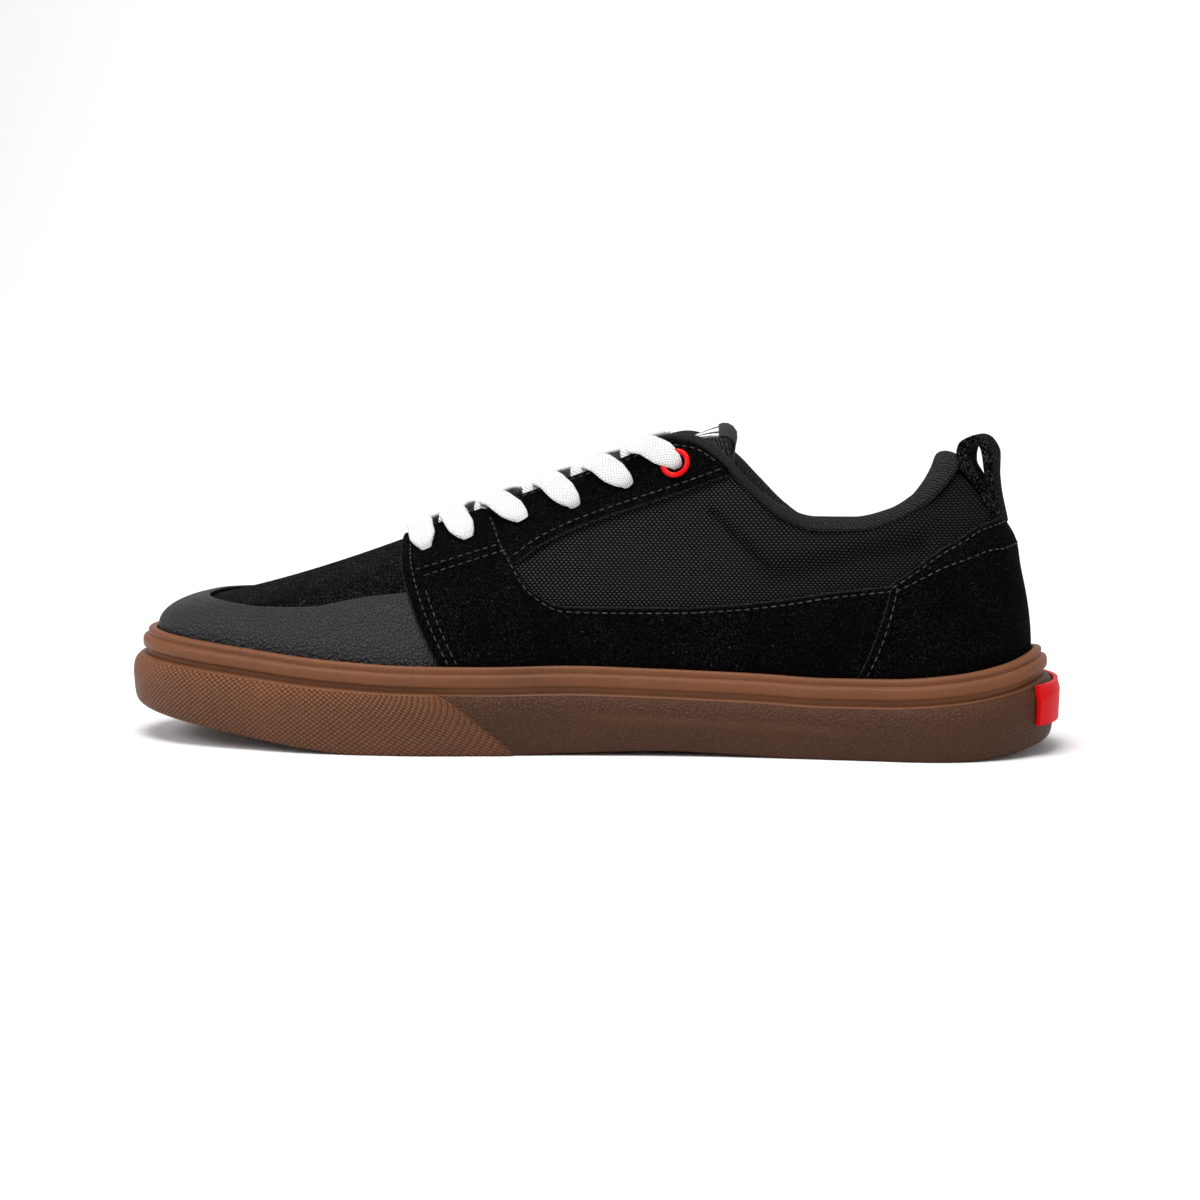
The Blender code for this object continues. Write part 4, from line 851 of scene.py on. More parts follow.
def panel(name, turn, t, finish, free, sink=0.0):
    """A leather panel on the upper from a grid of places, with its free edges rounded over and sunk where it
    lies under another panel."""
    flat = shell(turn, t, 0.0)
    up, along = lengths_along(flat, 0), lengths_along(flat, 1)
    reaches = {"top": up[-1:] - up, "foot": up, "front": along, "back": along[:, -1:] - along}
    edge = np.min([np.broadcast_to(reaches[side], up.shape) for side in free], axis=0)
    off = -EDGE_ROUND * np.clip(1 - edge / EDGE_WIDTH, 0, 1) ** 2 - sink
    points = shell(turn, t, off)
    uv = np.stack([flat[..., 0], flat[..., 2]], -1)
    PANEL_PLACES[name] = (turn, t, np.broadcast_to(-np.asarray(sink, float), turn.shape))
    piece = shaped_grid(name, points, (finish,), uv, edge)
    thicken(piece, cell_normals(points) * outward_sign(turn, t), OVERLAY)
    return weld(piece)


def outward_sign(turn, t):
    """1 if a grid's rows and columns turn round the outward direction, and -1 if they turn the other way."""
    along = np.sign(np.diff(turn, axis=1).sum())
    up = np.sign(np.diff(t, axis=0).sum())
    return along * up


def with_edges(count, length):
    """Shares from 0 to 1, close together near both ends of this length in millimetres."""
    close = np.array(EDGE_SHARES) * EDGE_WIDTH / length
    open_part = np.linspace(EDGE_WIDTH / length, 1 - EDGE_WIDTH / length, count)[1:-1]
    return np.concatenate([close, open_part, 1 - close[::-1]])


toe_grain = Finish("grey_toe_grain", roughness=0.55, specular_ior_level=0.25)
pebble = toe_grain.place.cells(1 / (TOE_GRAIN_PITCH * MM)).between(0.1, 0.75)
fine = toe_grain.place.noise(TOE_FINE_SCALE, 3.0)
toe_grain.feed(base_color=(pebble * 0.6 + fine * 0.3).mix(GRAIN_LIGHT, GRAIN_DARK))
toe_grain.bump(1 - pebble + fine * 0.6, TOE_GRAIN_DEPTH)

edge_x, edge_height = zip(*TOE_CAP_ROWS)
edge_turn, edge_t = place_on_side(edge_x, edge_height, -1)
edge_turn[0] = 0.0
cap_edge = curve_through(edge_turn, edge_t)
back_turn = edge_turn[-1]
slant_turn = float(turn_at(TOE_CAP_BACK_FOOT_X)) - back_turn
cap_turn = back_turn * (2 * with_edges(TOE_CAP_COLUMN_COUNT, TOE_CAP_LONG) - 1)
cap_slant = np.clip(1 - (back_turn - np.abs(cap_turn)) / TOE_CAP_SLANT_RUN, 0, None)
cap_slant = slant_turn * cap_slant * np.sign(cap_turn)
cap_share = with_edges(TOE_CAP_ROW_COUNT, TOE_CAP_TALL)[:, None]
cap_t = np.concatenate([np.full((1, len(cap_turn)), -OVERLAY_FOOT), cap_edge(np.abs(cap_turn)) * cap_share])
cap_share = np.concatenate([[[0.0]], cap_share])
cap_turn = cap_turn + cap_slant * (1 - cap_share)
cap_far = lengths_along(shell(cap_turn, cap_t, 0.0), 1)
cap_far = np.minimum(cap_far, cap_far[:, -1:] - cap_far)
cap_sink = UNDER_SINK * np.clip(UNDER_REACH - cap_far / UNDER_RUN, 0, 1)
toe_cap = panel("toe_cap_leather", cap_turn, cap_t, toe_grain.material, ("top",), cap_sink)
settle(toe_cap, "toe_grain", "toe_cap")


# Quarters
# A suede saddle on each side, from the throat down over the side of the foot and back to the heel. Each
# row has the x of its foot, the x of its top and the height of its top, which is the rim's where it is None.
SIDES = (("inner", -1), ("outer", 1))
QUARTER_OVER_RIM, QUARTER_STEPS, QUARTER_ROW_COUNT, QUARTER_TALL = 0.2, 8, 26, 30.0
QUARTER_FRONT_STATIONS, QUARTER_BACK_STATIONS = (0.12, 0.25), (-0.04, -0.08)
QUARTER_UNDER_ROWS, QUARTER_UNDER_RUN = 1.0, 0.5
QUARTER_ROWS = (
    (-40.0, -60.6, None),
    (-38.4, -58.0, None),
    (-36.4, -54.8, None),
    (-34.4, -51.4, None),
    (-32.0, -47.0, None),
    (-29.6, -42.6, None),
    (-27.2, -38.2, None),
    (-24.8, -34.0, None),
    (-23.0, -30.6, 74.2),
    (-21.0, -27.9, 71.6),
    (-18.5, -24.3, 66.3),
    (-15.0, -19.6, 60.2),
    (-10.5, -15.2, 54.1),
    (-5.0, -10.4, 50.0),
    (3.0, -1.5, 46.4),
    (17.0, 16.2, 46.2),
    (33.0, 33.6, 46.4),
    (50.0, 51.8, 47.6),
    (63.0, 66.9, 49.5),
    (75.0, 81.2, 51.9),
    (88.3, 98.6, 54.0),
    (96.5, 107.0, 55.0),
)


def build_quarter(side, name):
    height = RIM["inner_height"] if side < 0 else RIM["outer_height"]
    rows = [
        (foot_x, top_x, float(height(top_x)) + QUARTER_OVER_RIM if top is None else top)
        for foot_x, top_x, top in QUARTER_ROWS
    ]
    last = len(rows) - 1
    foot_x, top_x, top = (curve_through(range(len(rows)), values) for values in zip(*rows))
    station = np.linspace(0, last, QUARTER_STEPS * last + 1)
    back_stations = [last + station for station in QUARTER_BACK_STATIONS]
    station = np.sort(np.concatenate([station, QUARTER_FRONT_STATIONS, back_stations]))
    lip = LAST["lip_height"](foot_x(station))
    share = with_edges(QUARTER_ROW_COUNT, QUARTER_TALL)[:, None]
    x = foot_x(station) + (top_x(station) - foot_x(station)) * share
    turn, t = place_on_side(x, lip + (top(station) - lip) * share, side)
    foot_turn = on_side(turn_at(foot_x(station)), side)
    turn = np.concatenate([foot_turn[None], turn])
    t = np.concatenate([np.full((1, len(station)), -OVERLAY_FOOT), t])
    sink = UNDER_SINK * np.clip((station - last + QUARTER_UNDER_ROWS) / QUARTER_UNDER_RUN, 0, 1)
    return panel(name, turn, t, suede, ("top", "front"), sink)


for side_name, side in SIDES:
    settle(build_quarter(side, f"saddle_{side_name}"), "black_suede", f"quarter_{side_name}")


# Eyestays
# A suede strip along each edge of the throat, over the nylon, that carries the rear lace holes. Each row
# has the x of its edge on the rim, and the x and height of its lower edge.
EYESTAY_COLUMN_COUNT, EYESTAY_LONG, EYESTAY_ROW_COUNT, EYESTAY_TALL = 80, 75.0, 20, 18.0
EYESTAY_UNDER_REACH = 1.3
EYESTAY_ROWS = (
    (-37.0, -24.0, 57.0),
    (-29.5, -15.6, 60.8),
    (-26.0, -12.5, 63.2),
    (-19.0, -8.0, 66.0),
    (-8.0, 0.0, 69.8),
    (5.0, 11.5, 74.1),
    (17.0, 23.0, 78.0),
    (27.0, 33.5, 81.5),
    (37.0, 42.0, 84.6),
    (47.0, 48.4, 87.0),
)


def rim_turn(x, side):
    """The turn of the rib that ends at this x of the rim."""
    return on_side(turn_at(RIM_X_TO_BASE_X(x)), side)


def build_eyestay(side, name):
    rows = range(len(EYESTAY_ROWS))
    rim_x, low_x, low_height = (curve_through(rows, values) for values in zip(*EYESTAY_ROWS))
    station = with_edges(EYESTAY_COLUMN_COUNT, EYESTAY_LONG) * rows[-1]
    low_turn, low_t = place_on_side(low_x(station), low_height(station), side)
    top_turn = rim_turn(rim_x(station), side)
    share = with_edges(EYESTAY_ROW_COUNT, EYESTAY_TALL)[:, None]
    turn = low_turn * (1 - share) + top_turn * share
    t = low_t * (1 - share) + share
    sink = UNDER_SINK * np.clip(EYESTAY_UNDER_REACH - station, 0, 1)
    return panel(name, turn, t, suede, ("top", "foot"), sink)


for side_name, side in SIDES:
    settle(build_eyestay(side, f"eyestay_strip_{side_name}"), "black_suede", f"eyestay_{side_name}")


# Heel counter
# A suede panel wrapped round the back of the heel, over the rear ends of the quarters. Each row has the x
# of a rib of the upper, how far forward of it the foot is, and the height of the top.
COUNTER_PUFF, COUNTER_PUFF_HEIGHT, COUNTER_PUFF_WIDTH = 1.3, 66.0, 6.0
COUNTER_PUFF_FRONT_X, COUNTER_PUFF_FULL_X = 118.0, 132.0
COUNTER_COLUMN_COUNT, COUNTER_LONG, COUNTER_ROW_COUNT, COUNTER_TALL = 130, 170.0, 34, 42.0
COUNTER_ROWS = (
    (103.3, 13.4, 54.8),
    (113.5, 9.5, 60.6),
    (121.8, 5.0, 65.3),
    (130.4, 1.5, 69.2),
    (136.0, 0.0, 72.0),
    (HEEL_X, 0.0, 73.8),
)

rib_x, slant, top_height = zip(*COUNTER_ROWS)
counter_slant, counter_top = curve_through(rib_x, slant), curve_through(rib_x, top_height)
start_turn = float(turn_at(rib_x[0]))
counter_share = with_edges(COUNTER_COLUMN_COUNT, COUNTER_LONG)
counter_turn = start_turn + (2 * math.pi - 2 * start_turn) * counter_share
counter_x = base_x_at(counter_turn)
counter_side = side_of(counter_turn)
top_turn, top_t = place_on_rib(counter_x, counter_top(counter_x), counter_side)
foot_turn = on_side(turn_at(counter_x - counter_slant(counter_x)), counter_side)
share = with_edges(COUNTER_ROW_COUNT, COUNTER_TALL)[:, None]
counter_turns = np.concatenate([foot_turn[None], foot_turn + (top_turn - foot_turn) * share])
counter_t = np.concatenate([np.full((1, len(top_t)), -OVERLAY_FOOT), top_t * share])
counter_flat = shell(counter_turns, counter_t, 0.0)
counter_back = (counter_flat[..., 0] - COUNTER_PUFF_FRONT_X) / (COUNTER_PUFF_FULL_X - COUNTER_PUFF_FRONT_X)
counter_puff = hump(counter_flat[..., 2] - COUNTER_PUFF_HEIGHT, COUNTER_PUFF_WIDTH)
counter_sink = -COUNTER_PUFF * (np.clip(counter_back, 0, 1) * counter_puff)
counter_free = ("top", "front", "back")
heel_counter = panel("heel_counter_suede", counter_turns, counter_t, suede, counter_free, counter_sink)
settle(heel_counter, "black_suede", "heel_counter")


# Collar
# A roll of knitted cloth over foam round the ankle opening, sewn to the top edge of the upper and turned
# down inside it as padding. Its section is given off the skin and up from the rim, and its puff along x.
COLLAR_ROWS = (
    (-1.2, 0.1), (0.9, 0.7), (1.0, 3.0), (-0.5, 5.3), (-3.0, 6.3), (-5.8, 5.2), (-7.4, 2.2),
    (-7.6, -5.0), (-6.2, -14.0), (-4.5, -18.0), (-4.15, -8.0), (-4.15, 0.5),
)
COLLAR_START_X, COLLAR_PAD_START_X, COLLAR_PAD_FULL_X, COLLAR_PAD_LEAST = 22.0, 46.0, 66.0, 0.12
COLLAR_PUFF_ROWS = ((22.0, 0.3), (34.0, 0.5), (48.0, 1.0), (110.0, 1.0), (120.0, 1.35))
COLLAR_COLUMN_COUNT, COLLAR_STEPS, COLLAR_CLEAR = 260, 4, 0.5
KNIT_DARK, KNIT = colour(0.0008, 0.0008, 0.0008), colour(0.044, 0.043, 0.0435)
KNIT_LONG, KNIT_TALL, KNIT_DEPTH = 1.2, 1.1, 0.5
KNIT_WANDER, KNIT_WANDER_SCALE, KNIT_FUZZ_SCALE = 1.4, 600.0, 2600.0


def closed_curve(points, times):
    """A closed row of points refined on a smooth curve through them, along the first axis."""
    dense = []
    count = len(points)
    for i in range(count):
        a, b, c, d = (points[(i + k) % count] for k in (-1, 0, 1, 2))
        for s in np.arange(times) / times:
            bend, twist = 2 * a - 5 * b + 4 * c - d, 3 * b - a - 3 * c + d
            dense.append(0.5 * (2 * b + (c - a) * s + bend * s * s + twist * s**3))
    return np.array(dense)


def open_curve(points, count):
    """A row of points refined on a smooth curve through them, evenly along it."""
    points = np.asarray(points, float)
    flat = points.reshape(len(points), -1)
    far = np.concatenate([[0], np.cumsum(np.linalg.norm(np.diff(flat[:, :3], axis=0), axis=1))])
    places = np.linspace(0, far[-1], count)
    rows = [curve_through(far, flat[:, i])(places) for i in range(flat.shape[1])]
    return np.stack(rows, -1).reshape(count, *points.shape[1:])


def tube(name, sections, finish, pinched=True):
    """A closed body along a row of closed sections, with its ends pinched to a point or already shut."""
    if pinched:
        middles = sections.mean(1, keepdims=True)
        ends = [middles[:1] + (sections[:1] - middles[:1]) * k for k in (0.0, 0.7)]
        tails = [middles[-1:] + (sections[-1:] - middles[-1:]) * k for k in (0.7, 0.0)]
        sections = np.concatenate([*ends, sections, *tails])
    points = np.concatenate([sections, sections[:, :1]], axis=1)
    along = lengths_along(sections.mean(1, keepdims=True), 0)[:, 0]
    around = lengths_along(points[len(points) // 2][None], 1)[0]
    uv = np.stack(np.broadcast_arrays(along[:, None], around[None, :]), -1)
    return weld(shaped_grid(name, points, (finish,), uv))


def t_below_rim(turn, distance):
    """The t of the points these far under the rim, along their ribs."""
    turn, distance = np.broadcast_arrays(np.asarray(turn, float), np.asarray(distance, float))
    steps = np.linspace(1, 0.05, 80)
    result = np.empty(turn.shape)
    for i in np.ndindex(turn.shape):
        points = skin(turn[i], steps)
        result[i] = np.interp(distance[i], lengths_along(points, 0), steps)
    return result


def knit_finish(name):
    finish = Finish(name, roughness=0.9, specular_ior_level=0.1)
    along, around = finish.along / (KNIT_LONG * MM), finish.up / (KNIT_TALL * MM)
    slant = (along + around * 0.5 + finish.place.noise(KNIT_WANDER_SCALE) * KNIT_WANDER).wave()
    loops = slant * (around.wave() * 0.6 + 0.4)
    fuzz = finish.place.noise(KNIT_FUZZ_SCALE, 3.0)
    finish.feed(base_color=(loops * 0.6 + fuzz * 0.4).between(0.15, 0.9).mix(KNIT_DARK, KNIT))
    finish.bump(loops + fuzz * 0.4, KNIT_DEPTH)
    return finish.material


knit = knit_finish("black_knit")
first_turn = float(turn_at(RIM_X_TO_BASE_X(COLLAR_START_X)))
collar_turns = np.linspace(first_turn, 2 * math.pi - first_turn, COLLAR_COLUMN_COUNT)
collar_x = rim(collar_turns)[0]
pad = (collar_x - COLLAR_PAD_START_X) / (COLLAR_PAD_FULL_X - COLLAR_PAD_START_X)
pad = np.clip(pad, COLLAR_PAD_LEAST, 1)
puff = np.interp(collar_x, *zip(*COLLAR_PUFF_ROWS))
collar_edge = skin(collar_turns, 1.0)
collar_up = unit(collar_edge - skin(collar_turns, 0.98))
collar_normal = skin_normal(collar_turns, np.ones(COLLAR_COLUMN_COUNT))
collar_lines = []
inner_most = LINING_OFFSET - COLLAR_CLEAR
for off, rise in COLLAR_ROWS:
    offs = np.full(COLLAR_COLUMN_COUNT, off)
    if off < inner_most:
        offs = inner_most + (off - inner_most) * pad * puff
    if rise > 0:
        line = collar_edge + collar_normal * offs[:, None] + collar_up * (rise * puff)[:, None]
    else:
        line = shell(collar_turns, t_below_rim(collar_turns, -rise * pad + 0.01), offs)
    collar_lines.append(line)
collar_sections = np.swapaxes(closed_curve(np.array(collar_lines), COLLAR_STEPS), 0, 1)
collar = tube("padded_collar", collar_sections, knit)
settle(collar, "black_knit", "collar")


# Tongue
# A padded tongue of spacer mesh that lies under the eyestays and stands up past the top eyelets. Both its
# ends close in a rounded edge, and its front end is hidden under the vamp.
TONGUE_COLUMNS = ("x", "centre_height", "thickness", "wing", "clear")
TONGUE_ROWS = (
    (-52.0, 61.8, 3.4, 9.0, 1.0),
    (-38.0, 68.4, 4.0, 13.0, 1.0),
    (-20.0, 75.6, 4.6, 15.0, 1.0),
    (0.0, 83.4, 5.0, 16.0, 1.0),
    (18.0, 90.2, 5.6, 16.0, 1.0),
    (31.0, 96.0, 6.6, 14.0, 1.2),
    (38.5, 99.6, 7.2, 11.0, 2.6),
    (44.0, 101.4, 6.4, 8.0, 4.0),
)
TONGUE_FRONT_REACH, TONGUE_FRONT_DROP = 9.0, 6.4
TONGUE_EDGE = (0.45, 0.8, 1, 1, 1, 1, 1, 1, 1, 1, 1, 0.8, 0.45)
THROAT_SLOPE = math.atan2(33.8, 91.5)
THROAT_UP = np.array([-math.sin(THROAT_SLOPE), 0, math.cos(THROAT_SLOPE)])
THROAT_BACK = np.array([math.cos(THROAT_SLOPE), 0, math.sin(THROAT_SLOPE)])
TONGUE_STATION_COUNT, TONGUE_STEPS = 46, 3
TONGUE_WING_SHARES, TONGUE_THROAT_SHARES = (1.0, 0.66, 0.33, 0.0), (0.2, 0.4, 0.5, 0.6, 0.8)
# How its ends close: the share of the thickness that is left, and how far out that is.
TONGUE_END_ROWS = ((0.85, 1.2), (0.5, 2.2), (0.0, 2.7))


def tongue_row(x, centre_height, thickness, wing, clear):
    """One row of the tongue: under the inner eyestay, across the throat, and under the outer eyestay."""
    sides = {}
    for side in (-1, 1):
        turn = rim_turn(x, side)
        places = t_below_rim(turn, wing * np.array(TONGUE_WING_SHARES))
        sides[side] = (shell(turn, places, LINING_OFFSET - clear), skin_normal(turn, places))
    first, last = (sides[side][0][-1] for side in (-1, 1))
    first_normal, last_normal = (sides[side][1][-1] for side in (-1, 1))
    share = np.array(TONGUE_THROAT_SHARES)[:, None]
    middle = first + (last - first) * share
    middle[:, 2] += (centre_height - (first[2] + last[2]) / 2) * (1 - (2 * share[:, 0] - 1) ** 2)
    blend = 1 - abs(2 * share - 1)
    normal = unit((first_normal * (1 - share) + last_normal * share) * (1 - blend) + THROAT_UP * blend)
    top = np.concatenate([sides[-1][0], middle, sides[1][0][::-1]])
    normals = np.concatenate([sides[-1][1], normal, sides[1][1][::-1]])
    return top, top - normals * thickness * np.array(TONGUE_EDGE)[:, None]


tongue_curves = curves_of(TONGUE_COLUMNS, TONGUE_ROWS)
tongue_x = np.linspace(TONGUE_ROWS[0][0], TONGUE_ROWS[-1][0], TONGUE_STATION_COUNT)
tongue_rows = [tongue_row(x, *(curve(x) for curve in tongue_curves.values())) for x in tongue_x]
tongue_tops = np.array([row[0] for row in tongue_rows])
tongue_unders = np.array([row[1] for row in tongue_rows])
front = np.array([-TONGUE_FRONT_REACH, 0, -TONGUE_FRONT_DROP])
tongue_tops = np.concatenate([tongue_tops[:1] + front, tongue_tops])
tongue_unders = np.concatenate([tongue_unders[:1] + front, tongue_unders])
for row, way in ((0, -THROAT_BACK), (-1, THROAT_BACK)):
    edges = np.array([tongue_tops[row], tongue_unders[row]])
    middle_edge = edges.mean(0)
    shut = [middle_edge + way * reach + (edges - middle_edge) * share for share, reach in TONGUE_END_ROWS]
    top_shut, under_shut = np.swapaxes(shut if row else shut[::-1], 0, 1)
    order = (tongue_tops, top_shut) if row else (top_shut, tongue_tops)
    under_order = (tongue_unders, under_shut) if row else (under_shut, tongue_unders)
    tongue_tops, tongue_unders = np.concatenate(order), np.concatenate(under_order)
tongue_lines = np.concatenate([tongue_tops, tongue_unders[:, ::-1]], axis=1)
tongue_sections = np.swapaxes(closed_curve(np.swapaxes(tongue_lines, 0, 1), TONGUE_STEPS), 0, 1)
tongue = tube("padded_tongue", tongue_sections, knit, pinched=False)
settle(tongue, "black_knit", "tongue")


# Tongue tab
# A striped woven ribbon folded over the top edge of the tongue and sewn down on both sides. Its fold is
# black, and it follows the rows and columns of the tongue.
TAB_FIRST_COLUMN, TAB_LAST_COLUMN, TAB_ROWS, TAB_UNDER_ROWS = 12, 26, 10, 4
TAB_THICKNESS, TAB_CLEAR = 0.7, 0.1
TAB_THREAD, TAB_FADE, TAB_STRIPE, TAB_RELIEF = 0.5, 0.4, 4.0, 0.1
RIBBON, RIBBON_SHADE = colour(0.86, 0.86, 0.85), colour(0.6, 0.6, 0.59)
RIBBON_FOLD = colour(0.008, 0.008, 0.008)

columns_across = np.arange(TAB_FIRST_COLUMN, TAB_LAST_COLUMN + 1)
under_columns = tongue_sections.shape[1] - TONGUE_STEPS - columns_across
tab_top = tongue_sections[-TAB_ROWS:, columns_across]
tab_under = tongue_sections[-2 : -TAB_UNDER_ROWS : -1, under_columns]
tab_line = np.concatenate([tab_top, tab_under])
tab_normal = unit(np.cross(np.gradient(tab_line, axis=0), [0, 1.0, 0]))
tab_points = tab_line + tab_normal * (TAB_THICKNESS + TAB_CLEAR)
fold_at = lengths_along(tab_points, 0)[TAB_ROWS - len(TONGUE_END_ROWS) - 1].min()
ribbon = Finish("white_ribbon", roughness=0.8)
ribbon_weave = (ribbon.along / (TAB_THREAD * MM)).wave() * (ribbon.up / (TAB_THREAD * MM)).wave()
folded = ribbon.up.between(fold_at * MM, (fold_at + TAB_FADE) * MM)
stripes = (ribbon.along / (TAB_STRIPE * MM)).wave().between(0.84, 0.92)
ribbon_face = stripes.mix(ribbon_weave.mix(RIBBON_SHADE, RIBBON), RIBBON_FOLD)
ribbon.feed(base_color=folded.mix(ribbon_face, RIBBON_FOLD)).bump(ribbon_weave, TAB_RELIEF)
tab = shaped_grid("tongue_ribbon", tab_points, (ribbon.material,))
thicken(tab, tab_normal[:-1, :-1].reshape(-1, 3), TAB_THICKNESS)
settle(weld(tab), "white_woven", "tongue_tab")


# Eyelets
# A glossy red ring pressed round the top lace hole on each side. Each row of holes has its x, how far below
# the rim it is, and how far along x its lace drifts on its way to the rim.
EYELET_ROWS = (
    (-45.5, 16.0, -8.0),
    (-33.5, 15.5, -9.0),
    (-17.5, 13.0, -11.0),
    (-1.5, 12.0, -9.0),
    (15.0, 10.3, -9.0),
    (30.5, 8.4, -10.0),
)
RING_RADIUS, RING_HALF_HEIGHT, RING_BAND = 4.0, 0.65, 0.85
RING_COLUMN_COUNT, RING_ROW_COUNT = 48, 16
RED, RED_DEEP, ENAMEL_SCALE = colour(0.66, 0.003, 0.005), colour(0.56, 0.002, 0.004), 300.0

red_gloss = Finish(
    "red_enamel", roughness=0.3, specular_ior_level=0.06, coat_weight=0.12, coat_roughness=0.05,
)
red_gloss.feed(base_color=red_gloss.place.noise(ENAMEL_SCALE).mix(RED, RED_DEEP))


def eyelet_place(index, side):
    x, below_rim, _ = EYELET_ROWS[index]
    turn = float(rim_turn(x, side))
    return turn, float(t_below_rim(turn, below_rim))


def build_eyelet(side, name):
    turn, t = eyelet_place(len(EYELET_ROWS) - 1, side)
    normal = skin_normal(turn, t)
    across = unit(np.cross(normal, [0, 0, 1.0]))
    along = np.cross(across, normal)
    angle = np.linspace(0, 2 * math.pi, RING_COLUMN_COUNT + 1)
    out = across * np.cos(angle)[:, None] + along * np.sin(angle)[:, None]
    roll = np.linspace(0, 2 * math.pi, RING_ROW_COUNT + 1)[:, None, None]
    reach = RING_RADIUS + RING_BAND * np.cos(roll)
    points = shell(turn, t, GAP + RING_HALF_HEIGHT) + out * reach + normal * RING_HALF_HEIGHT * np.sin(roll)
    return weld(shaped_grid(name, points, (red_gloss.material,)))


for side_name, side in SIDES:
    settle(build_eyelet(side, f"red_ring_{side_name}"), "red_plastic", f"eyelet_{side_name}")


# Laces
# One flat woven cotton lace. A straight bar joins the front holes, and each run comes up through a hole,
# goes over the edge of the eyestay and across the tongue, and dives under the other edge. Each row has a
# share of the way from the hole to the rim, and how far the lace is clear of the suede there.
LACE_WIDTH, LACE_THICKNESS = 8.6, 2.0
LACE_ROWS = ((0.3, 0.5), (0.6, 0.7), (0.88, 1.1), (1.08, 1.3))
LACE_INSIDE, LACE_AT_HOLE, LACE_ACROSS_SHARES = 1.0, 0.5, (0.3, 0.6, 0.9)
LACE_STATION_COUNT, LACE_SIDE_COUNT = 48, 20
LACE_WIDE_POWER, LACE_TALL_POWER, LACE_GATHER_POWER = 0.7, 0.8, 0.6
LACE_HOLE_WIDTH, LACE_HOLE_THICKNESS, LACE_HIDDEN, LACE_GATHER = 3.8, 3.0, 3.0, 6.0
LACE_END_IN, LACE_END_UP, LACE_CROWN, LACE_OVER = 2.6, 4.9, 1.2, 3.6
LACE_DIVE_IN, LACE_DIVE_DOWN = 1.5, 3.0
COTTON, COTTON_SHADE = colour(0.80, 0.80, 0.79), colour(0.50, 0.50, 0.49)
COTTON_PITCH, COTTON_DEPTH, COTTON_FUZZ, COTTON_FUZZ_SCALE = 1.3, 0.3, 0.3, 1500.0
COTTON_GLOW = 2.5

cotton = Finish(
    "white_cotton", roughness=0.9, subsurface_weight=0.2, subsurface_radius=(1.0, 1.0, 1.0),
    subsurface_scale=COTTON_GLOW * MM,
)
ribs_one = ((cotton.along + cotton.up) / (COTTON_PITCH * MM)).wave()
ribs_two = ((cotton.along - cotton.up) / (COTTON_PITCH * MM)).wave()
cotton_weave = ribs_one * ribs_two + cotton.place.noise(COTTON_FUZZ_SCALE) * COTTON_FUZZ
cotton.feed(base_color=cotton_weave.between(0.05, 0.7).mix(COTTON_SHADE, COTTON))
cotton.bump(cotton_weave, COTTON_DEPTH)


def lace_route(index, side):
    """From inside an eyelet, over the edge of its eyestay, across the throat, to under the opposite edge."""
    turn, t = eyelet_place(index, side)
    from_x, below_rim, drift = EYELET_ROWS[index]
    to_x = EYELET_ROWS[max(index - 1, 0)][0]
    path = [shell(turn, t, LINING_OFFSET + LACE_INSIDE), shell(turn, t, LACE_AT_HOLE)]
    ups = [skin_normal(turn, t)] * 2
    for share, clear in LACE_ROWS:
        station = float(rim_turn(from_x + drift * share, side))
        place = float(t_below_rim(station, max(below_rim * (1 - share), 0.0)))
        inward = np.array([0, -side * max(share - 1, 0.0) * below_rim, 0])
        path.append(shell(station, place, clear + LACE_THICKNESS / 2) + inward)
        ups.append(skin_normal(station, place) + THROAT_UP * share)
    opposite = float(rim_turn(to_x, -side))
    edge = shell(opposite, 1.0, LINING_OFFSET - LACE_INSIDE)
    end = edge + np.array([0, side * LACE_END_IN, 0]) + THROAT_UP * LACE_END_UP
    start = path[-1]
    for share in LACE_ACROSS_SHARES:
        arch = (LACE_CROWN + LACE_OVER * side) * share * (1 - share)
        path.append(start + (end - start) * share + THROAT_UP * arch)
        ups.append(THROAT_UP)
    path.append(edge - np.array([0, side * LACE_DIVE_IN, 0]) - THROAT_UP * LACE_DIVE_DOWN)
    ups.append(THROAT_UP)
    return path, ups


def rounded_box(count, wide_power, tall_power):
    """Points round a box of half size 1 with rounded corners, as shares of its width and height."""
    angle = np.linspace(0, 2 * math.pi, count, endpoint=False)
    wide, tall = np.cos(angle), np.sin(angle)
    return np.sign(wide) * np.abs(wide) ** wide_power, np.sign(tall) * np.abs(tall) ** tall_power


def lace_strip(name, path, ups, gathered):
    """A flat lace with rounded edges along a path, gathered where it goes into an eyelet."""
    both = open_curve(np.stack([path, ups], 1), LACE_STATION_COUNT)
    path, ups = both[:, 0], both[:, 1]
    ahead = unit(np.gradient(path, axis=0))
    across = unit(np.cross(ups, ahead))
    up = np.cross(ahead, across)
    far = lengths_along(path[:, None], 0)[:, 0]
    spread = np.ones(len(path))
    for from_end in [{"start": far, "end": far[-1] - far}[end] for end in gathered]:
        free = np.clip((from_end - LACE_HIDDEN) / LACE_GATHER, 0, 1)
        spread = np.minimum(spread, free**LACE_GATHER_POWER)
    width = LACE_HOLE_WIDTH + (LACE_WIDTH - LACE_HOLE_WIDTH) * spread
    thick = LACE_HOLE_THICKNESS + (LACE_THICKNESS - LACE_HOLE_THICKNESS) * spread
    wide, tall = rounded_box(LACE_SIDE_COUNT, LACE_WIDE_POWER, LACE_TALL_POWER)
    sections = path[:, None] + across[:, None] * (width[:, None] / 2 * wide)[..., None]
    sections = sections + up[:, None] * (thick[:, None] / 2 * tall)[..., None]
    return tube(name, sections, cotton.material)


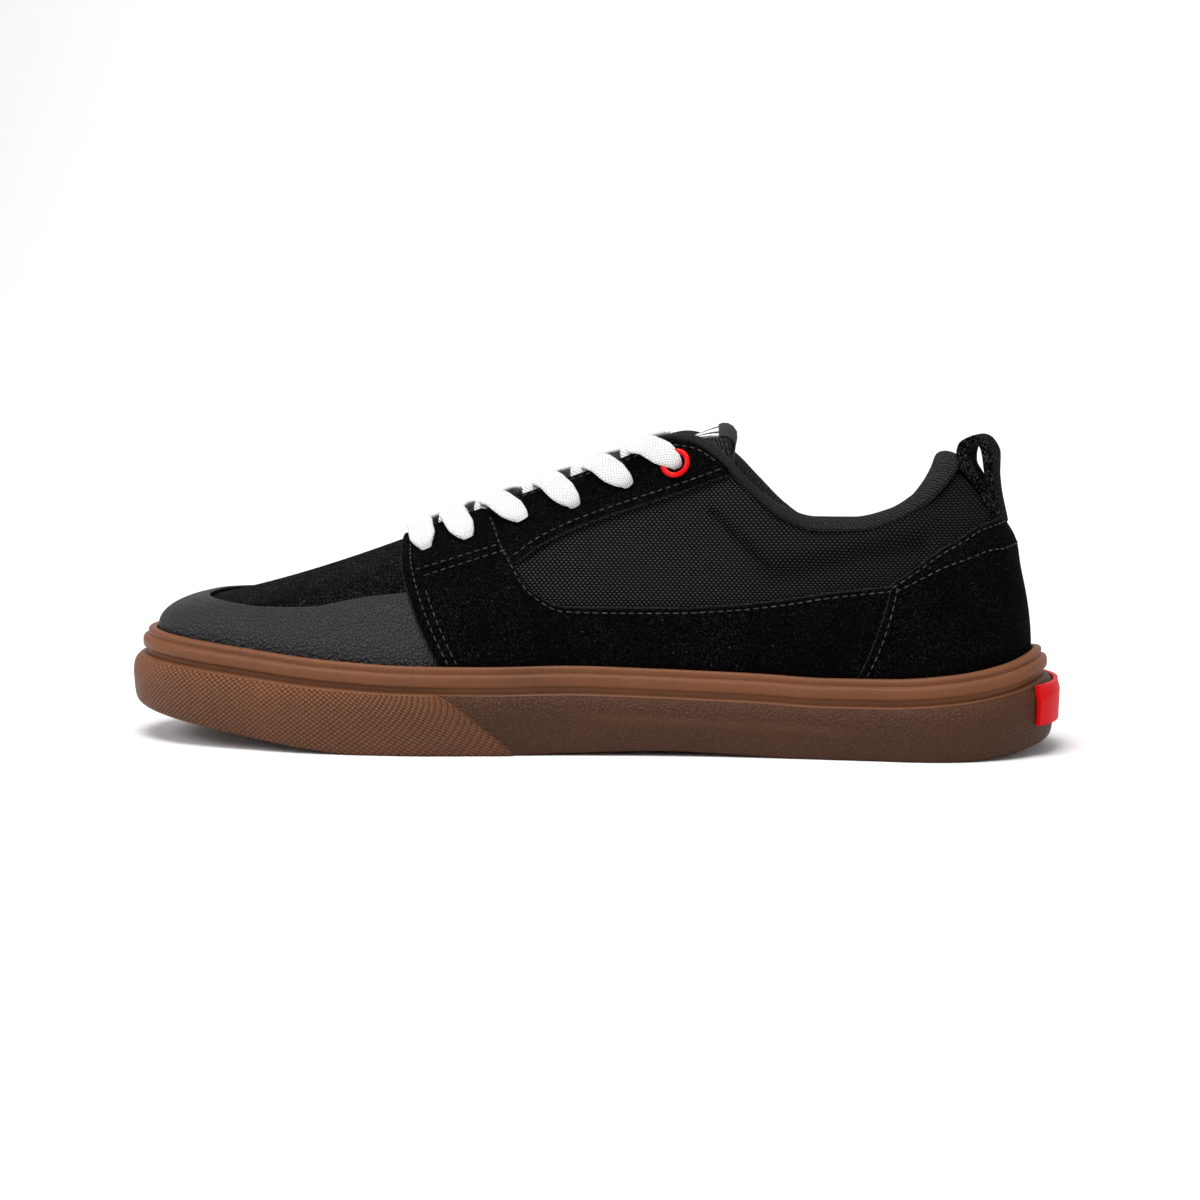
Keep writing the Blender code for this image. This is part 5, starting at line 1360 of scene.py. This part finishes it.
up_to_rim = 2 + len(LACE_ROWS)
bar_path, bar_ups = (
    inner[:up_to_rim] + outer[:up_to_rim][::-1] for inner, outer in zip(lace_route(0, -1), lace_route(0, 1))
)
settle(lace_strip("lace_front_bar", bar_path, bar_ups, ("start", "end")), "white_lace", "lace_bar")
for index in range(1, len(EYELET_ROWS)):
    runs = [
        lace_strip(f"lace_run_{index}_{side_name}", *lace_route(index, side), ("start",))
        for side_name, side in SIDES
    ]
    take(*runs)
    bpy.ops.object.join()
    runs[0].name = runs[0].data.name = f"lace_pair_{index}"
    settle(runs[0], "white_lace", f"lace_cross_{index}")


# Pull loop
# A strip of suede folded double, sewn flat to the heel above the counter, standing as a loop to pull. Its
# leg has rows of height, hole x and hole height, and the rest has rows of x, height, hole x and hole height.
LOOP_WIDTH, LOOP_WRAP, LOOP_TWIST = 13.0, math.radians(15), math.radians(11)
LOOP_TWIST_START, LOOP_TWIST_FULL = 78.0, 94.0
LOOP_SIDE_COUNT, LOOP_STEPS, LOOP_WIDE_POWER, LOOP_TALL_POWER = 24, 5, 0.3, 0.4
# The loop's suede is a brighter copy of the panels' suede, as painted light on the loop.
LOOP_LIT_BRIGHTNESS = 2.2
LOOP_LEG_ROWS = (
    (72.0, 128.6, 84.9),
    (75.2, 128.4, 85.1),
    (79.0, 127.9, 85.6),
    (83.0, 127.0, 86.6),
    (87.0, 125.8, 88.2),
)
LOOP_ROWS = (
    (120.2, 89.0, 124.3, 90.2),
    (119.3, 92.0, 123.7, 92.2),
    (119.2, 94.6, 123.5, 94.0),
    (120.2, 97.2, 124.0, 95.6),
    (123.0, 98.9, 124.8, 96.3),
    (125.4, 99.5, 125.5, 96.5),
    (127.8, 98.6, 126.1, 96.1),
    (129.7, 96.3, 126.7, 95.0),
    (130.9, 93.4, 127.2, 93.0),
    (131.6, 89.9, 127.7, 90.0),
    (132.0, 86.1, 128.2, 87.0),
    (132.5, 82.0, 128.6, 85.8),
    (133.3, 78.1, 128.7, 85.3),
    (134.0, 75.0, 128.7, 85.0),
    (134.4, 72.0, 128.7, 84.9),
)

loop_suede = suede_finish("loop_suede", LOOP_LIT_BRIGHTNESS)
leg_heights = [row[0] for row in LOOP_LEG_ROWS]
_, leg_t = place_on_rib(np.full(len(leg_heights), HEEL_X), leg_heights, -1)
leg = shell(np.full(len(leg_t), math.pi), leg_t, BASE_OFFSET + GAP)
outer_line = np.concatenate([leg[:, (0, 2)], [row[:2] for row in LOOP_ROWS]])
hole_line = np.array([row[1:] for row in LOOP_LEG_ROWS] + [row[2:] for row in LOOP_ROWS])
outer_line, hole_line = (closed_curve(line, LOOP_STEPS) for line in (outer_line, hole_line))
middle_line, half_line = (outer_line + hole_line) / 2, (outer_line - hole_line) / 2
loop_wide, loop_tall = rounded_box(LOOP_SIDE_COUNT, LOOP_WIDE_POWER, LOOP_TALL_POWER)
loop_wide = loop_wide * LOOP_WIDTH / 2
seen = middle_line[:, None] + half_line[:, None] * loop_tall[None, :, None]
free = np.clip((seen[..., 1] - LOOP_TWIST_START) / (LOOP_TWIST_FULL - LOOP_TWIST_START), 0, 1)
wrapped = -math.tan(LOOP_WRAP) * np.abs(loop_wide) * (1 - free)
twisted = math.tan(LOOP_TWIST) * loop_wide * np.where(loop_wide < 0, 1.0, free) * free
loop_points = np.stack([
    seen[..., 0] + wrapped + twisted, np.broadcast_to(loop_wide, seen.shape[:2]), seen[..., 1],
], -1)
loop_points = np.concatenate([loop_points, loop_points[:1]])
loop_points = np.concatenate([loop_points, loop_points[:, :1]], axis=1)
pull_loop = weld(shaped_grid("heel_pull_loop", loop_points, (loop_suede,)))
settle(pull_loop, "black_suede", "pull_loop")


# Heel tab
# A small red tab moulded in soft plastic and bonded to the back of the sole. It follows the sole's side, and
# it is left plain.
HEEL_TAB_HALF_WIDTH, HEEL_TAB_LOW, HEEL_TAB_HIGH, HEEL_TAB_DEPTH = 20.0, 9.8, 22.4, 1.4
HEEL_TAB_REACH, HEEL_TAB_TREAD_X = 0.9, HEEL_X + 7
HEEL_TAB_COLUMN_COUNT, HEEL_TAB_ROW_COUNT = 40, 22
HEEL_TAB_TURNS, HEEL_TAB_TURN_COUNT = (0.8 * math.pi, 1.2 * math.pi), 160
PLASTIC_SCALE, PLASTIC_GRAIN_SCALE, PLASTIC_DEPTH = 200.0, 2500.0, 0.03

red_soft = Finish("red_soft_plastic", roughness=0.5, specular_ior_level=0.05)
red_soft.feed(base_color=red_soft.place.noise(PLASTIC_SCALE).mix(RED, RED_DEEP))
red_soft.bump(red_soft.place.noise(PLASTIC_GRAIN_SCALE), PLASTIC_DEPTH)
tab_turns = np.linspace(*HEEL_TAB_TURNS, HEEL_TAB_TURN_COUNT + 1)
tab_edge_y = outline(tab_turns)[1] + outline_normal(tab_turns)[1] * LAST["overhang"](base_x_at(tab_turns))
tab_y = np.linspace(-HEEL_TAB_HALF_WIDTH, HEEL_TAB_HALF_WIDTH, HEEL_TAB_COLUMN_COUNT + 1)
tab_turn = np.interp(tab_y, tab_edge_y, tab_turns)
tab_height = np.linspace(HEEL_TAB_LOW, HEEL_TAB_HIGH, HEEL_TAB_ROW_COUNT + 1)
tab_lip = LAST["lip_height"](base_x_at(tab_turn))
tab_tread = float(TREAD(HEEL_TAB_TREAD_X))
wall_rows = SOLE_ROWS[BUMPER_FIRST_ROW:]
tab_points = np.empty((len(tab_height), len(tab_y), 3))
out_x, out_y = outline_normal(tab_turn)
edge_x, edge_y = outline(tab_turn)
for c, turn in enumerate(tab_turn):
    levels = [tab_lip[c] + h if level == "lip" else tab_tread + h for _, _, level, h, _ in wall_rows]
    reach = np.interp(tab_height, levels[::-1], [row[0] for row in wall_rows][::-1])
    off = np.maximum(reach, HEEL_TAB_REACH) * LAST["overhang"](base_x_at(turn)) + GAP + HEEL_TAB_DEPTH
    tab_points[:, c] = np.stack([edge_x[c] + out_x[c] * off, edge_y[c] + out_y[c] * off, tab_height], -1)
heel_tab = shaped_grid("red_heel_tab", tab_points, (red_soft.material,))
thicken(heel_tab, np.array([1.0, 0, 0]), HEEL_TAB_DEPTH)
settle(weld(heel_tab, 40), "red_plastic", "heel_tab")


# Stitching
# Grey thread, sewn by machine in rows of short stitches along the edges of the suede panels, and in dark
# thread down the crease under the padded nylon. Each seam has a panel, one of its edges, how far in from
# it the seam is, and where it starts and stops. A seam of the counter has an inset for its ends and middle.
STITCH_LENGTH, STITCH_PITCH, STITCH_WIDTH, STITCH_HEIGHT, STITCH_LIFT = 2.0, 2.8, 0.45, 0.4, 0.1
SEAM_ROWS = (
    ("saddle", "front", 3.5, 0.04, 0.94),
    ("saddle", "front", 6.2, 0.04, 0.62),
    ("saddle", "top", 2.0, 0.40, 0.99),
    ("eyestay_strip", "foot", 3.0, 0.10, 0.98),
    ("eyestay_strip", "top", 2.0, 0.04, 0.96),
)
COUNTER_SEAM_ROWS = (("top", 1.9, 1.9, 0.02, 0.98), ("top", 3.4, 9.6, 0.03, 0.97))
COUNTER_SEAM_RISE, COUNTER_FRONT_SEAM = 1.4, (3.0, 0.04, 0.9)
CROSS_SEAM_ROWS = (((-51.0, 56.3), (-24.4, 64.6)), ((-47.6, 54.7), (-22.6, 62.8)))
CROSS_SEAM_STEPS, CREASE_SEAM_STEPS, CREASE_SEAM_LIFT = 20, 30, 0.5
THREAD, THREAD_SHADE, THREAD_SCALE = colour(0.075, 0.075, 0.075), colour(0.02, 0.02, 0.02), 900.0
DARK_THREAD, DARK_THREAD_SHADE = colour(0.012, 0.012, 0.012), colour(0.004, 0.004, 0.004)

thread = Finish("grey_thread", roughness=0.8, specular_ior_level=0.2)
thread.feed(base_color=thread.place.noise(THREAD_SCALE).between(0.3, 0.8).mix(THREAD_SHADE, THREAD))
dark_thread = Finish("dark_thread", roughness=0.8, specular_ior_level=0.2)
dark_thread.feed(base_color=dark_thread.place.noise(THREAD_SCALE).mix(DARK_THREAD_SHADE, DARK_THREAD))


def seam_places(name, edge, inset, first_share, last_share):
    """Places along a panel, this far in from one of its edges."""
    places = np.array(PANEL_PLACES[name])
    across = edge in ("front", "back")
    far = lengths_along(shell(places[0], places[1], 0.0), 1 if across else 0)
    if across:
        places, far = np.swapaxes(places, 1, 2), far.T
    if edge in ("top", "back"):
        places, far = places[:, ::-1], far[-1:] - far[::-1]
    count = far.shape[1]
    inset = np.broadcast_to(inset, count)
    lines = range(int(first_share * count), int(last_share * count))
    lines = [c for c in lines if places[1, :, c].min() >= 0 or not across]
    return np.array([[np.interp(inset[c], far[:, c], values[:, c]) for values in places] for c in lines])


def along_path(stops, far, line):
    """The points of a line at these distances along it."""
    return np.stack([np.interp(stops, far, line[:, i]) for i in range(3)], -1)


def stitch_frames(places, off=STITCH_LIFT):
    """Where each stitch of a row lies: its middle, and its axes along the row, across it and outwards."""
    lift = places[:, 2] if places.shape[1] > 2 else 0.0
    path = shell(places[:, 0], places[:, 1], lift + off)
    normal = skin_normal(places[:, 0], places[:, 1])
    far = lengths_along(path[:, None], 0)[:, 0]
    stops = np.arange(STITCH_PITCH / 2, far[-1], STITCH_PITCH)
    middle, up = along_path(stops, far, path), along_path(stops, far, normal)
    ahead = unit(along_path(stops + 0.5, far, path) - along_path(stops - 0.5, far, path))
    across = np.cross(up, ahead)
    return middle, np.stack([ahead * STITCH_LENGTH, across * STITCH_WIDTH, up * STITCH_HEIGHT], 1)


def sew(name, frames, finish, slot):
    """One piece of all the stitches of these rows."""
    middles, axes = (np.concatenate(rows) for rows in zip(*frames))
    return settle(copies(name, stitch, middles, axes, finish.material), slot)


bpy.ops.object.select_all(action="DESELECT")
bpy.ops.mesh.primitive_uv_sphere_add(segments=8, ring_count=6, radius=0.5)
stitch = bpy.context.object
frames = []
for panel_name, edge, inset, first_share, last_share in SEAM_ROWS:
    for side_name, _ in SIDES:
        places = seam_places(f"{panel_name}_{side_name}", edge, inset, first_share, last_share)
        frames.append(stitch_frames(places))
for edge, end_inset, middle_inset, first_share, last_share in COUNTER_SEAM_ROWS:
    reach = 1 - np.abs(np.linspace(-1, 1, PANEL_PLACES["heel_counter_suede"][0].shape[1]))
    inset = end_inset + (middle_inset - end_inset) * np.minimum(reach * COUNTER_SEAM_RISE, 1)
    frames.append(stitch_frames(seam_places("heel_counter_suede", edge, inset, first_share, last_share)))
for edge in ("front", "back"):
    frames.append(stitch_frames(seam_places("heel_counter_suede", edge, *COUNTER_FRONT_SEAM)))
for first, last in CROSS_SEAM_ROWS:
    for _, side in SIDES:
        share = np.linspace(0, 1, CROSS_SEAM_STEPS)
        seam_x, seam_height = (first[i] + (last[i] - first[i]) * share for i in range(2))
        frames.append(stitch_frames(np.stack(place_on_side(seam_x, seam_height, side), -1)))
sew("grey_stitches", frames, thread, "black_suede")
crease_share = np.linspace(0, len(PAD_CREASE) - 1, CREASE_SEAM_STEPS)
crease_line = [curve_through(range(len(PAD_CREASE)), values)(crease_share) for values in zip(*PAD_CREASE)]
crease_off = BASE_OFFSET - CREASE_DEPTH + CREASE_SEAM_LIFT
crease_frames = [
    stitch_frames(np.stack(place_on_side(*crease_line, side), -1), crease_off) for _, side in SIDES
]
sew("crease_stitches", crease_frames, dark_thread, "black_canvas")
bpy.data.objects.remove(stitch)


# Studio
# A pale floor that sweeps up behind the shoe, in metres, with one broad soft light above, three weaker ones
# round the shoe and one on the sweep. Each row has a light's name, place, target, size and power.
CAMERA_AZIMUTH, CAMERA_ELEVATION, CAMERA_DISTANCE = math.radians(10), math.radians(6.2), 1.007
CAMERA_TARGET = np.array([0.0025, -0.0003, 0.0444])
CAMERA_LENS, CAMERA_SENSOR = 93.0, 36.0
FLOOR_SIZE, SWEEP_HEIGHT, SWEEP_RADIUS, SWEEP_STEPS = 8.0, 4.0, 2.0, 16
PAPER, WHITE = colour(0.9, 0.9, 0.9), colour(1.0, 1.0, 1.0)
LIGHT_ROWS = (
    ("top_light", (-0.1, -0.35, 1.4), (0.0, 0.0, 0.04), 0.9, 22.0),
    ("near_light", (-0.9, -1.5, 0.7), (0.0, 0.0, 0.04), 0.8, 4.0),
    ("toe_light", (-1.1, -0.6, 0.9), (-0.12, 0.0, 0.03), 0.5, 6.0),
    ("heel_light", (1.3, -0.5, 0.5), (0.12, 0.0, 0.04), 0.5, 2.8),
    ("backdrop_light", (0.0, 1.6, 2.6), (0.0, 4.0, 1.0), 2.5, 75.0),
)
WORLD_STRENGTH = 0.32

bpy.ops.object.select_all(action="DESELECT")
bpy.ops.mesh.primitive_plane_add(size=FLOOR_SIZE)
floor = bpy.context.object
floor.name = "studio_floor"
bpy.ops.object.mode_set(mode="EDIT")
bpy.ops.mesh.select_all(action="DESELECT")
bpy.ops.object.mode_set(mode="OBJECT")
for edge in floor.data.edges:
    edge.select = all(floor.data.vertices[v].co.y > 0 for v in edge.vertices)
bpy.ops.object.mode_set(mode="EDIT")
bpy.ops.mesh.extrude_region_move(TRANSFORM_OT_translate={"value": (0, 0, SWEEP_HEIGHT)})
bpy.ops.object.mode_set(mode="OBJECT")
sweep = floor.modifiers.new("sweep", "BEVEL")
sweep.width = SWEEP_RADIUS
sweep.segments = SWEEP_STEPS
bpy.ops.object.modifier_apply(modifier=sweep.name)
bpy.ops.object.shade_smooth()
paper = Finish("studio_paper", roughness=0.9)
paper.shader.inputs["Base Color"].default_value = PAPER
floor.data.materials.append(paper.material)

world = bpy.data.worlds.new("studio_air")
world.use_nodes = True
air = world.node_tree.nodes["Background"]
air.inputs["Color"].default_value = WHITE
air.inputs["Strength"].default_value = WORLD_STRENGTH
bpy.context.scene.world = world


def aim(thing, target):
    """Turns a light or camera to look at a point."""
    way = thing.location - type(thing.location)(target)
    thing.rotation_euler = way.to_track_quat("Z", "Y").to_euler()


for name, place, target, size, power in LIGHT_ROWS:
    bpy.ops.object.light_add(type="AREA", location=place)
    light = bpy.context.object
    light.name = name
    light.data.size = size
    light.data.energy = power
    aim(light, target)

back_way = np.array([
    math.sin(CAMERA_AZIMUTH) * math.cos(CAMERA_ELEVATION),
    -math.cos(CAMERA_AZIMUTH) * math.cos(CAMERA_ELEVATION),
    math.sin(CAMERA_ELEVATION),
])
bpy.ops.object.camera_add(location=CAMERA_TARGET + back_way * CAMERA_DISTANCE)
camera = bpy.context.object
camera.name = "photo_camera"
camera.data.lens = CAMERA_LENS
camera.data.sensor_width = CAMERA_SENSOR
aim(camera, CAMERA_TARGET)
bpy.context.scene.camera = camera
bpy.context.scene.view_settings.view_transform = "Standard"
